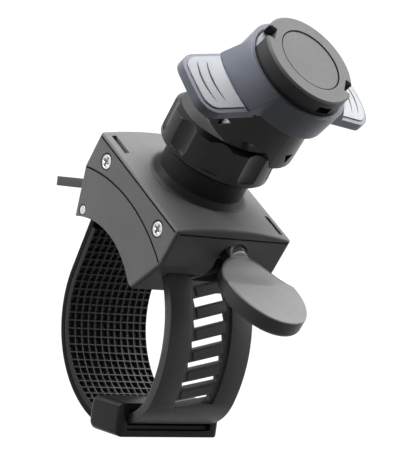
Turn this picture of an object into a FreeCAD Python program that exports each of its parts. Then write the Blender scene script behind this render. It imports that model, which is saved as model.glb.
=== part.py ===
"""Bike phone mount: strap clamp with a worm drive, ball joint and twist-release phone head.

Millimetres. Y runs along the handlebar, Z is up, X points to the thumb key.
The origin is the centre of the saddle's concave arc, which is the handlebar's axis.
"""
import FreeCAD, Part
import math
import os

V = FreeCAD.Vector
X_AXIS = V(1, 0, 0)
Y_AXIS = V(0, 1, 0)
Z_AXIS = V(0, 0, 1)

# Clearances
RUN = 0.05          # radial running clearance of a shaft in its hole
SEAM = 0.15         # visible gap between mouldings
LOOSE = 0.3         # gap round the strap and other free pieces

# Clamp body
BODY_WIDTH = 39.2           # along the handlebar
BODY_TOP_HALF = 22.2        # half length at the top
BODY_TOP_Z = 44.2           # split between the housing and the lid
SHOULDER_IN = 0.1           # how far the sides lean in from the top to the shoulder
SHOULDER_Z = 34.0
FOOT_HALF = 16.6            # half length at the bottom
FOOT_Z = 22.0
SADDLE_R = 26.5
SADDLE_HALF = 14.4          # half chord of the bar seat
HINGE_SEAT_HALF = 15.4      # the same on the hinge's side, whose foot reaches lower
HINGE_FOOT_Z = 20.9
SEAM_R = 52.7
SEAM_PEAK_Z = 38.5
BODY_EDGE = 1.0             # rounding of the end faces' outline

# Lid and neck
LID_CROWN_R = 105.0
LID_PEAK_Z = 46.9
LID_EDGE = 0.7              # rounding of the lid's rim
LID_SLOT_LENGTH = 8.0
LID_SLOT_WIDTH = 1.5
LID_SLOT_END = 6.2          # from the lid's end to the slot's middle
LID_SLOT_SIDE = 2.8         # from the lid's side to the slot's middle
NECK_R = 12.3
NECK_TOP_Z = 57.3
NECK_FLARE = 1.6
LUG_WIDTH = 6.0
LUG_DEPTH = 7.0
LUG_DROP = 6.2
LUG_FRONT = 2.6             # from the end face to the lug

# End face screws
SCREW_END = 7.4             # from the body's end to the screw
SCREW_Z = 40.3
SCREW_HEAD_R = 2.25
SCREW_HEAD_H = 1.5
SCREW_SHANK_R = 1.2
SCREW_LENGTH = 9.0
SCREW_HEAD_GAP = 0.2
CROSS_LENGTH = 2.6
CROSS_WIDTH = 0.55
CROSS_DEPTH = 0.8

# Strap, an arc round a centre below the bar's axis
STRAP_CENTRE_Z = -1.8
STRAP_MID_R = 36.9
STRAP_T = 2.6
STRAP_HALF = 14.1
STRAP_TAIL_DEG = 123.0
STRAP_TAIL_LENGTH = 20.5
TAIL_CORNER = 2.5           # rounding of the tail's tip in plan
STRAP_END_DEG = 4.0         # where the long arc gives way to the tight turn into the buckle
STRAP_TURN_R = 12.0
STRAP_TURN_DEG = 60.0
STRAP_LEAD = 3.0
BEAD_R = 2.3
SLOT_HALF = 5.8
SLOT_LENGTH = 2.2
SLOT_PITCH = 5.6
SLOT_SLANT_DEG = 13.0
SLOT_PHASE = 1.2            # the first slot's distance from the top of the arc, towards the tail
SLOT_FIRST = -4             # slots counted from the top of the arc, towards the tail
SLOT_LAST = 11
TRACK_HALF = 6.9
TRACK_DEPTH = 0.7
CHANNEL_FROM_DEG = 20.0      # the strap's channel runs past both ends of the body
CHANNEL_TO_DEG = 160.0

# Grip band and its soft liner, an arc with its own centre
BAND_CENTRE_X = 15.1
BAND_CENTRE_Z = 9.4
BAND_R = 29.7
BAND_T = 2.0
LINER_T = 1.5
BAND_HALF = 13.7
BAND_START_DEG = 188.4
BAND_END_DEG = 293.0
PIN_X = -14.5
PIN_Z = 24.3
PIN_R = 1.2
PIN_RELIEF = 0.35           # dark ring round the pin's ends
PIN_RELIEF_DEPTH = 0.6
KNUCKLE_R = 2.7
LINER_TOP_GAP = 2.6         # the liner ends this far below the knuckle

# Buckle
BUCKLE_HALF = 17.5
BUCKLE_T = 9.2
BUCKLE_BACK = 6.8           # from the bead's centre to the band's end
BUCKLE_FRONT = 6.6          # from the bead's centre to the mouth
BUCKLE_EDGE = 1.6
BUCKLE_CORNER = 2.4
MOUTH_HEIGHT = 5.6
LINER_STOP = 3.6            # the liner ends this far short of the band's end

# Worm drive, along X
WORM_Y = 2.4
WORM_Z = 39.3
WORM_CREST_R = 4.8
WORM_CORE_R = 3.3
WORM_TURNS = 4
CREST_WIDTH = 0.8
ROOT_WIDTH = 2.0
THREAD_BITE = 0.34          # how far the thread's root is sunk into the core
BORE_GAP = 0.4
TAIL_JOURNAL_R = 2.0
TAIL_JOURNAL = 4.0
SHAFT_R = 2.5
BUSH_LENGTH = 4.0
RECESS_HALF = 4.8
RECESS_ARCH_Z = 38.0
RECESS_BOTTOM_Z = 29.0
KEY_X = 38.2                # centre of the paddle
KEY_HALF_X = 14.1
KEY_HALF_Y = 11.3
KEY_END_R = 9.5             # radius of the oval's two ends, its sides follow
KEY_TOP = 1.2               # paddle's top face over the shaft's axis
KEY_T = 5.0
KEY_TOP_EDGE = 0.5
KEY_BOTTOM_EDGE = 1.4
KEY_DISH_X = 36.6           # crest line between the flat and the dished part
KEY_DISH_DEPTH = 1.3
KEY_HUB_R = 3.0
KEY_FLARE_R = 3.6
KEY_HUB_LENGTH = 5.0

# Ball joint
BALL_Z = 57.2
BALL_R = 9.0
STUD_R = 4.6
STUD_TOP = 20.4             # heights in the head count from the ball's centre along the head's axis
SEAT_R = 10.4               # bore in the neck
SEAT_FLOOR_Z = 47.6
SEAT_TOP_Z = 56.2
RING_R = 11.2
RING_BOTTOM_Z = 58.4
RING_TOP_Z = 62.2
COLLAR_R = 15.8
COLLAR_BOTTOM_Z = 55.7
COLLAR_CAP = 4.5            # from the pressure ring's top to the collar's
COLLAR_MOUTH_R = 8.8
COLLAR_LIP_R = 8.3
COLLAR_BEVEL = 1.4
COLLAR_SCALLOPS = 9
SCALLOP_R = 8.0
SCALLOP_DEPTH = 0.9
SCALLOP_FOOT = 2.0          # height of a scallop's rounded foot
COLLAR_RIM = 1.8

# Head pose, as photographed
HEAD_TILT_DEG = 18.5
HEAD_TILT_AZIMUTH_DEG = 11.5

# Head, heights from the ball's centre
DISC_TOP = 40.0
DISC_R = 13.9
DISC_H = 5.6
DISC_ROOF = 2.9
DISC_HOLLOW_R = 11.4
DISC_EDGE = 0.5
PLATE_R = 9.3
PLATE_T = 1.0
PLATE_RECESS = 1.2
MAGNET_R = 7.4
MAGNET_T = 3.0
NOTCH_WIDTH = 4.6
NOTCH_R = 9.6
PAWL_AZIMUTH_DEG = 57.0
PAWL_R = 9.8               # inner end
PAWL_H = 2.5
PAWL_INSET = 0.1            # below the disc's wall and over its foot
WINDOW_AZIMUTH_DEG = 4.0
WINDOW_WIDTH = 4.6
WINDOW_H = 2.4
WINDOW_SILL = 1.0
BASE_R = 13.0
BASE_BOTTOM = 14.0
BASE_FLOOR = 19.0
BASE_FLOOR_TOP = 23.0
BASE_WALL = 1.6
BASE_SKIRT_R = 15.8
BASE_BOSS_R = 7.0
BASE_BOSS_BOTTOM = 15.0
LEDGE_R = 8.8
LEDGE_H = 31.3
FLANGE_R = 14.0
FLANGE_H = 25.9
FLANGE_T = 0.8
EYELETS = 4
EYELET_AZIMUTH_DEG = 20.0
EYELET_WIDTH = 11.0
EYELET_HOLE_HALF = 1.9
EYELET_HOLE_H = 3.0
EYELET_HOLE_TOP = 18.4
BAY_HEIGHT = 4.5
HEAD_SCREW_R = 1.85
HEAD_SCREW_HEAD_R = 3.6
HEAD_SCREW_HEAD_H = 2.4
HEAD_SCREW_BITE = 9.0
SPRING_R = 10.2             # inner radius
SPRING_WIRE = 1.0
SPRING_GAP_DEG = 40.0

# Release ring and wings
RING_TOP_DROP = 5.1         # below the disc's top
RING_TOP_R = 15.5
RING_SKIRT_DROP = 11.3
RING_SKIRT_R = 20.1
RING_SKIRT_EDGE = 0.8
RING_FOOT_R = 16.2
WING_TIP_R = 32.5
WING_HALF = 9.2
WING_T = 2.4
WING_CROWN_R = 47.0         # the wings' top is rounded across
WING_DROOP_DEG = 9.0
WING_SPIN_DEG = 6.2         # the wings' line, from the handlebar's direction
WING_ROOT_R = 15.0
WING_CORNER = 5.6
PAD_ROOT_R = 20.6
PAD_INSET = 1.2
PAD_T = 1.0
PAD_SEAT = 0.7              # depth of the pad's seat in the wing
PAD_GROOVES = (2.2, 5.2)    # distance of the two crescent grooves from the pad's outer edge
PAD_GROOVE_R = 11.5
PAD_GROOVE_HALF = 6.4       # half chord
PAD_GROOVE_WIDTH = 0.6
PAD_GROOVE_DEPTH = 0.5

# Values worked out from the sizes above
HALF_Y = BODY_WIDTH / 2
SHOULDER_HALF = BODY_TOP_HALF - SHOULDER_IN
LID_SLOT_X = BODY_TOP_HALF - LID_SLOT_END
LID_SLOT_Y = HALF_Y - LID_SLOT_SIDE
SCREW_X = BODY_TOP_HALF - SCREW_END
STRAP_IN_R = STRAP_MID_R - STRAP_T / 2
STRAP_OUT_R = STRAP_MID_R + STRAP_T / 2
SLOT_STEP_DEG = math.degrees(SLOT_PITCH / STRAP_MID_R)
SLOT_TOP_DEG = 90 + math.degrees(SLOT_PHASE / STRAP_MID_R)
THREAD_PHASE = SLOT_PHASE + WORM_Y * math.tan(math.radians(SLOT_SLANT_DEG))
TRACK_END_DEG = SLOT_TOP_DEG - (SLOT_FIRST - 1) * SLOT_STEP_DEG
WORM_HALF = WORM_TURNS * SLOT_PITCH / 2
WORM_BORE_R = WORM_CREST_R + BORE_GAP
BUSH_START = WORM_HALF + 2 * BORE_GAP
BUSH_END = BUSH_START + BUSH_LENGTH
COLLAR_TOP_Z = RING_TOP_Z + COLLAR_CAP
DISC_BOTTOM = DISC_TOP - DISC_H
HUB_TOP = DISC_BOTTOM
RING_TOP = DISC_TOP - RING_TOP_DROP
RING_SKIRT_TOP = DISC_TOP - RING_SKIRT_DROP
RING_BOTTOM = FLANGE_H + FLANGE_T + SEAM
BAND_IN_R = BAND_R - BAND_T
LINER_IN_R = BAND_IN_R - LINER_T
SKIN_GAP = 0.02             # hair gap between two curved faces that lie on each other


def cylinder(radius, length, base, axis=Z_AXIS):
    """A round bar from its base point along an axis."""
    return Part.makeCylinder(radius, length, base, axis)


def box(x0, x1, y0, y1, z0, z1):
    """A block given by its limits."""
    return Part.makeBox(x1 - x0, y1 - y0, z1 - z0, V(x0, y0, z0))


def ring(r_in, r_out, z0, z1):
    """A flat-ended tube about Z."""
    tube = cylinder(r_out, z1 - z0, V(0, 0, z0))
    return tube.cut(cylinder(r_in, z1 - z0, V(0, 0, z0)))


def revolve(points):
    """A solid of revolution about Z from (radius, height) corners."""
    corners = [V(r, 0, z) for r, z in points]
    face = Part.Face(Part.makePolygon(corners + corners[:1]))
    return face.revolve(V(0, 0, 0), Z_AXIS, 360)


def polar(centre_x, centre_z, radius, degrees):
    """A point of the XZ plane at an angle from +X about a centre."""
    angle = math.radians(degrees)
    return V(centre_x + radius * math.cos(angle), 0, centre_z + radius * math.sin(angle))


def extrude_y(edges, half):
    """A prism along Y, centred on y = 0, from closed edges in the XZ plane."""
    face = Part.Face(Part.Wire(Part.__sortEdges__(edges)))
    face.translate(V(0, -half, 0))
    return face.extrude(V(0, 2 * half, 0))


def line(a, b):
    return Part.LineSegment(a, b).toShape()


def arc(a, via, b):
    return Part.Arc(a, via, b).toShape()


def sector(centre_x, centre_z, r_in, r_out, start, end, half):
    """A curved slab between two radii and two angles of the XZ plane."""
    middle = (start + end) / 2

    def at(radius, degrees):
        return polar(centre_x, centre_z, radius, degrees)

    edges = [
        arc(at(r_out, start), at(r_out, middle), at(r_out, end)),
        line(at(r_out, end), at(r_in, end)),
        arc(at(r_in, end), at(r_in, middle), at(r_in, start)),
        line(at(r_in, start), at(r_out, start)),
    ]
    return extrude_y(edges, half)


def turned(shape, degrees, axis=Z_AXIS, centre=V(0, 0, 0)):
    """A copy turned about an axis."""
    copy = shape.copy()
    copy.rotate(centre, axis, degrees)
    return copy


def on_head(shape):
    """A copy moved from the head's own frame to its place on the ball."""
    azimuth = math.radians(HEAD_TILT_AZIMUTH_DEG)
    hinge = V(-math.sin(azimuth), math.cos(azimuth), 0)
    copy = turned(shape, HEAD_TILT_DEG, hinge)
    copy.translate(V(0, 0, BALL_Z))
    return copy


def fuse_all(shapes):
    """One solid from several that overlap."""
    whole = shapes[0].multiFuse(shapes[1:])
    return whole.removeSplitter()


def seat_point(half):
    """The end of the bar seat's arc at a distance from the middle."""
    return V(half, 0, math.sqrt(SADDLE_R ** 2 - half ** 2))


def body_outline():
    """The end view of the clamp body below the lid, as edges."""
    corners = [
        seat_point(SADDLE_HALF),
        V(FOOT_HALF, 0, FOOT_Z),
        V(SHOULDER_HALF, 0, SHOULDER_Z),
        V(BODY_TOP_HALF, 0, BODY_TOP_Z),
        V(-BODY_TOP_HALF, 0, BODY_TOP_Z),
        V(-SHOULDER_HALF, 0, SHOULDER_Z),
        V(-FOOT_HALF, 0, HINGE_FOOT_Z),
        seat_point(-HINGE_SEAT_HALF),
    ]
    edges = [line(a, b) for a, b in zip(corners, corners[1:])]
    edges.append(arc(corners[-1], V(0, 0, SADDLE_R), corners[0]))
    return edges


def seam_cylinder(extra):
    """The round tool that splits the saddle from the housing."""
    base = V(0, -BODY_WIDTH, SEAM_PEAK_Z - SEAM_R)
    return cylinder(SEAM_R + extra, 2 * BODY_WIDTH, base, Y_AXIS)


def worm_bore():
    """The bore of the worm and its bush, and the blind hole of its tail journal."""
    start = -WORM_HALF - BORE_GAP
    bore = cylinder(WORM_BORE_R, BUSH_END - start, V(start, WORM_Y, WORM_Z), X_AXIS)
    tail_length = TAIL_JOURNAL + 2 * BORE_GAP
    tail_start = V(start - tail_length + BORE_GAP, WORM_Y, WORM_Z)
    tail = cylinder(TAIL_JOURNAL_R + RUN, tail_length, tail_start, X_AXIS)
    return bore.fuse(tail)


def key_recess():
    """The arched recess round the key's shaft."""
    length = BODY_TOP_HALF
    arch = cylinder(RECESS_HALF, length, V(BUSH_END, WORM_Y, RECESS_ARCH_Z), X_AXIS)
    low = box(
        BUSH_END, BUSH_END + length, WORM_Y - RECESS_HALF, WORM_Y + RECESS_HALF,
        RECESS_BOTTOM_Z, RECESS_ARCH_Z,
    )
    return arch.fuse(low)


def strap_channel():
    """The curved channel that the strap runs through."""
    return sector(
        0, STRAP_CENTRE_Z, STRAP_IN_R - LOOSE, STRAP_OUT_R + LOOSE, CHANNEL_FROM_DEG, CHANNEL_TO_DEG,
        STRAP_HALF + LOOSE,
    )


def round_end_edges(solid, radius):
    """Round the outline of both end faces, apart from the bar seat and the seam."""
    edges = []
    for edge in solid.Edges:
        ends_on_face = all(abs(abs(v.Y) - HALF_Y) < 1e-6 for v in edge.Vertexes)
        straight = edge.Curve.TypeId == "Part::GeomLine"
        upright = edge.BoundBox.ZLength > radius
        if ends_on_face and straight and upright and edge.BoundBox.YLength < 1e-6:
            edges.append(edge)
    return solid.makeFillet(radius, edges)


def saddle():
    whole = round_end_edges(extrude_y(body_outline(), HALF_Y).common(seam_cylinder(0)), BODY_EDGE)
    gap_half = BAND_HALF + LOOSE
    knuckle_r = KNUCKLE_R + LOOSE
    face = V(PIN_X, -HALF_Y, PIN_Z)
    pin_hole = cylinder(PIN_R + RUN, BODY_WIDTH, face, Y_AXIS)
    relief = cylinder(PIN_R + PIN_RELIEF, PIN_RELIEF_DEPTH, face, Y_AXIS)
    far_relief = relief.mirror(V(0, 0, 0), Y_AXIS)
    knuckle = cylinder(knuckle_r, 2 * gap_half, V(PIN_X, -gap_half, PIN_Z), Y_AXIS)
    mouth = box(-2 * FOOT_HALF, PIN_X + knuckle_r, -gap_half, gap_half, 0, PIN_Z)
    for tool in (strap_channel(), worm_bore(), key_recess(), pin_hole, relief, far_relief, knuckle, mouth):
        whole = whole.cut(tool)
    return whole


def screw_hole(side, head_r, shank_r):
    """The stepped hole of one end face screw."""
    face = V(side * SCREW_X, -HALF_Y, SCREW_Z)
    head = cylinder(head_r, SCREW_HEAD_H, face, Y_AXIS)
    return head.fuse(cylinder(shank_r, SCREW_LENGTH, face, Y_AXIS))


def lug(side, gap):
    """The lid's lug that an end face screw bites into, or its pocket."""
    front = -HALF_Y + LUG_FRONT - gap
    half = LUG_WIDTH / 2 + gap
    return box(
        side * SCREW_X - half, side * SCREW_X + half, front, front + LUG_DEPTH + 2 * gap,
        BODY_TOP_Z - LUG_DROP - gap, BODY_TOP_Z,
    )


def gear_housing():
    whole = round_end_edges(extrude_y(body_outline(), HALF_Y).cut(seam_cylinder(SEAM)), BODY_EDGE)
    tools = [worm_bore(), key_recess(), strap_channel()]
    for side in (-1, 1):
        tools.append(lug(side, SEAM))
        tools.append(screw_hole(side, SCREW_HEAD_R + SCREW_HEAD_GAP, SCREW_SHANK_R + RUN))
    for tool in tools:
        whole = whole.cut(tool)
    return max(whole.Solids, key=lambda solid: solid.Volume)


def top_cover():
    plate = box(-BODY_TOP_HALF, BODY_TOP_HALF, -HALF_Y, HALF_Y, BODY_TOP_Z, LID_PEAK_Z)
    uprights = [e for e in plate.Edges if e.BoundBox.ZLength > e.BoundBox.XLength + e.BoundBox.YLength]
    plate = plate.makeFillet(BODY_EDGE, uprights)
    crown_start = V(-2 * BODY_TOP_HALF, 0, LID_PEAK_Z - LID_CROWN_R)
    crown = cylinder(LID_CROWN_R, 4 * BODY_TOP_HALF, crown_start, X_AXIS)
    plate = plate.common(crown)
    rim = [e for e in plate.Edges if e.BoundBox.ZMin > BODY_TOP_Z + SEAM]
    plate = plate.makeFillet(LID_EDGE, rim)
    neck = revolve([
        (0, BODY_TOP_Z), (NECK_R + NECK_FLARE, BODY_TOP_Z),
        (NECK_R + NECK_FLARE, LID_PEAK_Z - NECK_FLARE / 2),
        (NECK_R, LID_PEAK_Z + NECK_FLARE), (NECK_R, NECK_TOP_Z), (0, NECK_TOP_Z),
    ])
    whole = fuse_all([plate, neck, lug(-1, 0), lug(1, 0)])
    whole = whole.cut(cylinder(SEAT_R, NECK_TOP_Z, V(0, 0, SEAT_FLOOR_Z)))
    whole = whole.cut(worm_bore())
    for side in (-1, 1):
        whole = whole.cut(screw_hole(side, SCREW_SHANK_R + RUN, SCREW_SHANK_R + RUN))
        x = side * LID_SLOT_X
        y = side * LID_SLOT_Y
        whole = whole.cut(box(
            x - LID_SLOT_LENGTH / 2, x + LID_SLOT_LENGTH / 2, y - LID_SLOT_WIDTH / 2, y + LID_SLOT_WIDTH / 2,
            BODY_TOP_Z, LID_PEAK_Z,
        ))
    return whole


def housing_screws():
    screws = []
    for side in (-1, 1):
        screw = screw_hole(side, SCREW_HEAD_R, SCREW_SHANK_R)
        for long_x, long_z in ((CROSS_LENGTH, CROSS_WIDTH), (CROSS_WIDTH, CROSS_LENGTH)):
            bar = box(
                side * SCREW_X - long_x / 2, side * SCREW_X + long_x / 2, -HALF_Y, -HALF_Y + CROSS_DEPTH,
                SCREW_Z - long_z / 2, SCREW_Z + long_z / 2,
            )
            screw = screw.cut(bar)
        screws.append(screw)
    return Part.makeCompound(screws)


def hinge_pin():
    return cylinder(PIN_R, BODY_WIDTH, V(PIN_X, -HALF_Y, PIN_Z), Y_AXIS)


def neck_length():
    """Length of the band's straight stretch, from its arc to beside the pin."""
    start = polar(BAND_CENTRE_X, BAND_CENTRE_Z, BAND_R - BAND_T / 2, BAND_START_DEG)
    return (PIN_Z - start.z) / abs(math.cos(math.radians(BAND_START_DEG)))


def straight_up(radius, thickness, length, half):
    """A straight slab that carries the band's arc on upwards, from a middle radius."""
    start = polar(BAND_CENTRE_X, BAND_CENTRE_Z, radius, BAND_START_DEG)
    heading = math.radians(BAND_START_DEG - 90)
    return slab_along(start, V(math.cos(heading), 0, math.sin(heading)), length, thickness, half)


def grip_band():
    curve = sector(BAND_CENTRE_X, BAND_CENTRE_Z, BAND_IN_R, BAND_R, BAND_START_DEG, BAND_END_DEG, BAND_HALF)
    knuckle = cylinder(KNUCKLE_R, 2 * BAND_HALF, V(PIN_X, -BAND_HALF, PIN_Z), Y_AXIS)
    neck = straight_up(BAND_R - BAND_T / 2, BAND_T, neck_length(), BAND_HALF)
    whole = fuse_all([curve, neck, knuckle])
    return whole.cut(cylinder(PIN_R + RUN, BODY_WIDTH, V(PIN_X, -HALF_Y, PIN_Z), Y_AXIS))


def grip_liner():
    outer_r = BAND_IN_R - SKIN_GAP
    thickness = outer_r - LINER_IN_R
    end_deg = BAND_END_DEG - math.degrees(LINER_STOP / BAND_R)
    straight = neck_length() - KNUCKLE_R - LINER_TOP_GAP
    curve = sector(BAND_CENTRE_X, BAND_CENTRE_Z, LINER_IN_R, outer_r, BAND_START_DEG, end_deg, BAND_HALF)
    rise = straight_up(LINER_IN_R + thickness / 2, thickness, straight, BAND_HALF)
    return fuse_all([curve, rise])


def strap_stations():
    """Centre and end of the strap's tight turn, and the direction it then takes into the buckle."""
    turn_centre = polar(0, STRAP_CENTRE_Z, STRAP_MID_R - STRAP_TURN_R, STRAP_END_DEG)
    turn_end = polar(turn_centre.x, turn_centre.z, STRAP_TURN_R, -STRAP_TURN_DEG)
    heading = math.radians(-90 - STRAP_TURN_DEG)
    ahead = V(math.cos(heading), 0, math.sin(heading))
    return turn_centre, turn_end, ahead


def bead_centre():
    """Centre of the bead at the strap's end, inside the buckle."""
    _, turn_end, ahead = strap_stations()
    return turn_end + ahead * STRAP_LEAD


def slab_along(start, ahead, length, thickness, half):
    """A straight slab whose middle line starts at a point and runs along a direction of the XZ plane."""
    side = V(-ahead.z, 0, ahead.x) * (thickness / 2)
    end = start + ahead * length
    corners = [start + side, end + side, end - side, start - side, start + side]
    return extrude_y([line(a, b) for a, b in zip(corners, corners[1:])], half)


def strap_body():
    """The strap without its slots, from the tail's tip to the bead."""
    turn_centre, turn_end, ahead = strap_stations()
    half_t = STRAP_T / 2
    tail_start = polar(0, STRAP_CENTRE_Z, STRAP_MID_R, STRAP_TAIL_DEG)
    tail_heading = math.radians(STRAP_TAIL_DEG + 90)
    tail_ahead = V(math.cos(tail_heading), 0, math.sin(tail_heading))
    tail = slab_along(tail_start, tail_ahead, STRAP_TAIL_LENGTH, STRAP_T, STRAP_HALF)
    tip = [
        e for e in tail.Edges
        if e.Length < 2 * STRAP_T and (e.CenterOfMass - tail_start).dot(tail_ahead) > STRAP_TAIL_LENGTH / 2
    ]
    pieces = [
        tail.makeFillet(TAIL_CORNER, tip),
        sector(0, STRAP_CENTRE_Z, STRAP_IN_R, STRAP_OUT_R, STRAP_END_DEG, STRAP_TAIL_DEG, STRAP_HALF),
        sector(
            turn_centre.x, turn_centre.z, STRAP_TURN_R - half_t, STRAP_TURN_R + half_t,
            -STRAP_TURN_DEG, STRAP_END_DEG, STRAP_HALF,
        ),
        slab_along(turn_end, ahead, STRAP_LEAD, STRAP_T, STRAP_HALF),
        cylinder(BEAD_R, 2 * STRAP_HALF, bead_centre() - V(0, STRAP_HALF, 0), Y_AXIS),
    ]
    return fuse_all(pieces)


def slotted_strap():
    whole = strap_body()
    track = sector(
        0, STRAP_CENTRE_Z, STRAP_OUT_R - TRACK_DEPTH, STRAP_OUT_R + LOOSE, STRAP_END_DEG,
        TRACK_END_DEG, TRACK_HALF,
    )
    whole = whole.cut(track)
    centre = V(0, 0, STRAP_CENTRE_Z)
    slots = []
    for index in range(SLOT_FIRST, SLOT_LAST):
        slot = box(
            STRAP_IN_R - LOOSE, STRAP_OUT_R + LOOSE, -SLOT_HALF, SLOT_HALF, -SLOT_LENGTH / 2, SLOT_LENGTH / 2
        )
        slot = turned(slot, SLOT_SLANT_DEG, X_AXIS)
        slot.translate(centre)
        slots.append(turned(slot, index * SLOT_STEP_DEG - SLOT_TOP_DEG, Y_AXIS, centre))
    return whole.cut(Part.makeCompound(slots))


def strap_buckle():
    turn_centre, turn_end, ahead = strap_stations()
    centre = bead_centre()
    side = V(-ahead.z, 0, ahead.x)
    back = centre + ahead * BUCKLE_BACK
    front = centre - ahead * BUCKLE_FRONT
    rise = side * (BUCKLE_T / 2)
    corners = [back + rise, back - rise, front - rise, front + rise, back + rise]
    block = extrude_y([line(a, b) for a, b in zip(corners, corners[1:])], BUCKLE_HALF)
    heel = [e for e in block.Edges if e.BoundBox.YLength > BUCKLE_HALF and e.BoundBox.XMax < centre.x]
    block = block.makeFillet(BUCKLE_CORNER, heel)
    outer = [e for e in block.Edges if e.BoundBox.YLength < 1e-6]
    block = block.makeFillet(BUCKLE_EDGE, outer)
    pocket = cylinder(BEAD_R + LOOSE, 2 * (STRAP_HALF + LOOSE), centre - V(0, STRAP_HALF + LOOSE, 0), Y_AXIS)
    throat = slab_along(centre, -ahead, 2 * BUCKLE_FRONT, STRAP_T + 2 * LOOSE, STRAP_HALF + LOOSE)
    bend = sector(
        turn_centre.x, turn_centre.z, STRAP_TURN_R - STRAP_T / 2 - LOOSE, STRAP_TURN_R + STRAP_T / 2 + LOOSE,
        -STRAP_TURN_DEG, CHANNEL_FROM_DEG, STRAP_HALF + LOOSE,
    )
    flare_start = turn_end - ahead * (BUCKLE_FRONT - STRAP_LEAD) / 2
    flare = slab_along(flare_start, -ahead, BUCKLE_FRONT, MOUTH_HEIGHT, STRAP_HALF + LOOSE)
    band = sector(
        BAND_CENTRE_X, BAND_CENTRE_Z, BAND_IN_R - SKIN_GAP, BAND_R + SKIN_GAP, BAND_START_DEG, BAND_END_DEG,
        BAND_HALF + SKIN_GAP,
    )
    for tool in (pocket, throat, bend, flare, band):
        block = block.cut(tool)
    return max(block.Solids, key=lambda solid: solid.Volume)


def worm_screw():
    pitch = SLOT_PITCH
    helix = Part.makeHelix(pitch, WORM_TURNS * pitch, WORM_CORE_R)
    corners = [
        V(WORM_CORE_R - THREAD_BITE, 0, -ROOT_WIDTH / 2), V(WORM_CREST_R, 0, -CREST_WIDTH / 2),
        V(WORM_CREST_R, 0, CREST_WIDTH / 2), V(WORM_CORE_R - THREAD_BITE, 0, ROOT_WIDTH / 2),
    ]
    profile = Part.makePolygon(corners + corners[:1])
    thread = Part.Wire(helix).makePipeShell([profile], True, True)
    thread.translate(V(0, 0, -WORM_HALF))
    thread = turned(thread.mirror(V(0, 0, 0), Y_AXIS), -360 * THREAD_PHASE / pitch)
    core = cylinder(WORM_CORE_R, 2 * WORM_HALF, V(0, 0, -WORM_HALF))
    thread = thread.common(ring(THREAD_BITE, 2 * WORM_CREST_R, -WORM_HALF, WORM_HALF))
    tail = cylinder(TAIL_JOURNAL_R, TAIL_JOURNAL + BORE_GAP, V(0, 0, -WORM_HALF - TAIL_JOURNAL))
    shaft_end = KEY_X - KEY_HALF_X
    shaft = cylinder(SHAFT_R, shaft_end - WORM_HALF + BORE_GAP, V(0, 0, WORM_HALF - BORE_GAP))
    bar = turned(fuse_all([core, tail, shaft]), 180)
    worm = turned(bar.fuse(thread), 90, Y_AXIS)
    worm.translate(V(0, WORM_Y, WORM_Z))
    return worm


def worm_bush():
    bush = ring(SHAFT_R + RUN, WORM_BORE_R - RUN, BUSH_START, BUSH_END)
    bush = turned(bush, 90, Y_AXIS)
    bush.translate(V(0, WORM_Y, WORM_Z))
    return bush


def oval_plate(half_x, half_y, end_r, height):
    """A flat oval of four arcs that run into each other, standing on z = 0."""
    end_x = half_x - end_r
    side_r = (end_x ** 2 + half_y ** 2 - end_r ** 2) / (2 * (half_y - end_r))
    side_y = half_y - side_r
    slope = math.atan2(-side_y, end_x)
    join_x = end_x + end_r * math.cos(slope)
    join_y = end_r * math.sin(slope)
    joins = [V(join_x, -join_y, 0), V(join_x, join_y, 0), V(-join_x, join_y, 0), V(-join_x, -join_y, 0)]
    peaks = [V(half_x, 0, 0), V(0, half_y, 0), V(-half_x, 0, 0), V(0, -half_y, 0)]
    edges = [arc(joins[i], peaks[i], joins[(i + 1) % len(joins)]) for i in range(len(joins))]
    return Part.Face(Part.Wire(edges)).extrude(V(0, 0, height))


def thumb_key():
    top = WORM_Z + KEY_TOP
    near = KEY_X - KEY_HALF_X
    paddle = oval_plate(KEY_HALF_X, KEY_HALF_Y, KEY_END_R, KEY_T)
    paddle = paddle.makeFillet(KEY_BOTTOM_EDGE, [e for e in paddle.Edges if e.BoundBox.ZMax < KEY_T / 2])
    rim = [e for e in paddle.Edges if e.BoundBox.ZMin > KEY_T - KEY_TOP_EDGE]
    paddle = paddle.makeFillet(KEY_TOP_EDGE, rim)
    paddle.translate(V(KEY_X, WORM_Y, top - KEY_T))
    start = near - KEY_HUB_LENGTH
    hub = Part.makeCone(KEY_HUB_R, KEY_FLARE_R, 2 * KEY_HUB_LENGTH, V(start, WORM_Y, WORM_Z), X_AXIS)
    half_reach = (KEY_DISH_X - near) / 2
    dish_r = (KEY_DISH_DEPTH ** 2 + half_reach ** 2) / (2 * KEY_DISH_DEPTH)
    span = 2 * KEY_HALF_Y
    axis = V(near + half_reach, WORM_Y - span, top - KEY_DISH_DEPTH + dish_r)
    dish = cylinder(dish_r, 2 * span, axis, Y_AXIS)
    over = box(near, KEY_X + 2 * KEY_HALF_X, WORM_Y - span, WORM_Y + span, top, top + KEY_T)
    key = fuse_all([paddle, hub]).cut(over).cut(dish)
    bore = cylinder(SHAFT_R + SKIN_GAP, KEY_HUB_LENGTH + SKIN_GAP, V(start, WORM_Y, WORM_Z), X_AXIS)
    return key.cut(bore)


def ball_hollow(gap):
    """The ball's own space, for the cup and the ring that hold it."""
    return Part.makeSphere(BALL_R + gap, V(0, 0, BALL_Z))


def ball_seat():
    cup = cylinder(SEAT_R - RUN, SEAT_TOP_Z - SEAT_FLOOR_Z - SEAM, V(0, 0, SEAT_FLOOR_Z + SEAM))
    return cup.cut(ball_hollow(RUN))


def pressure_ring():
    washer = cylinder(RING_R, RING_TOP_Z - RING_BOTTOM_Z, V(0, 0, RING_BOTTOM_Z))
    return washer.cut(ball_hollow(RUN))


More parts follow.
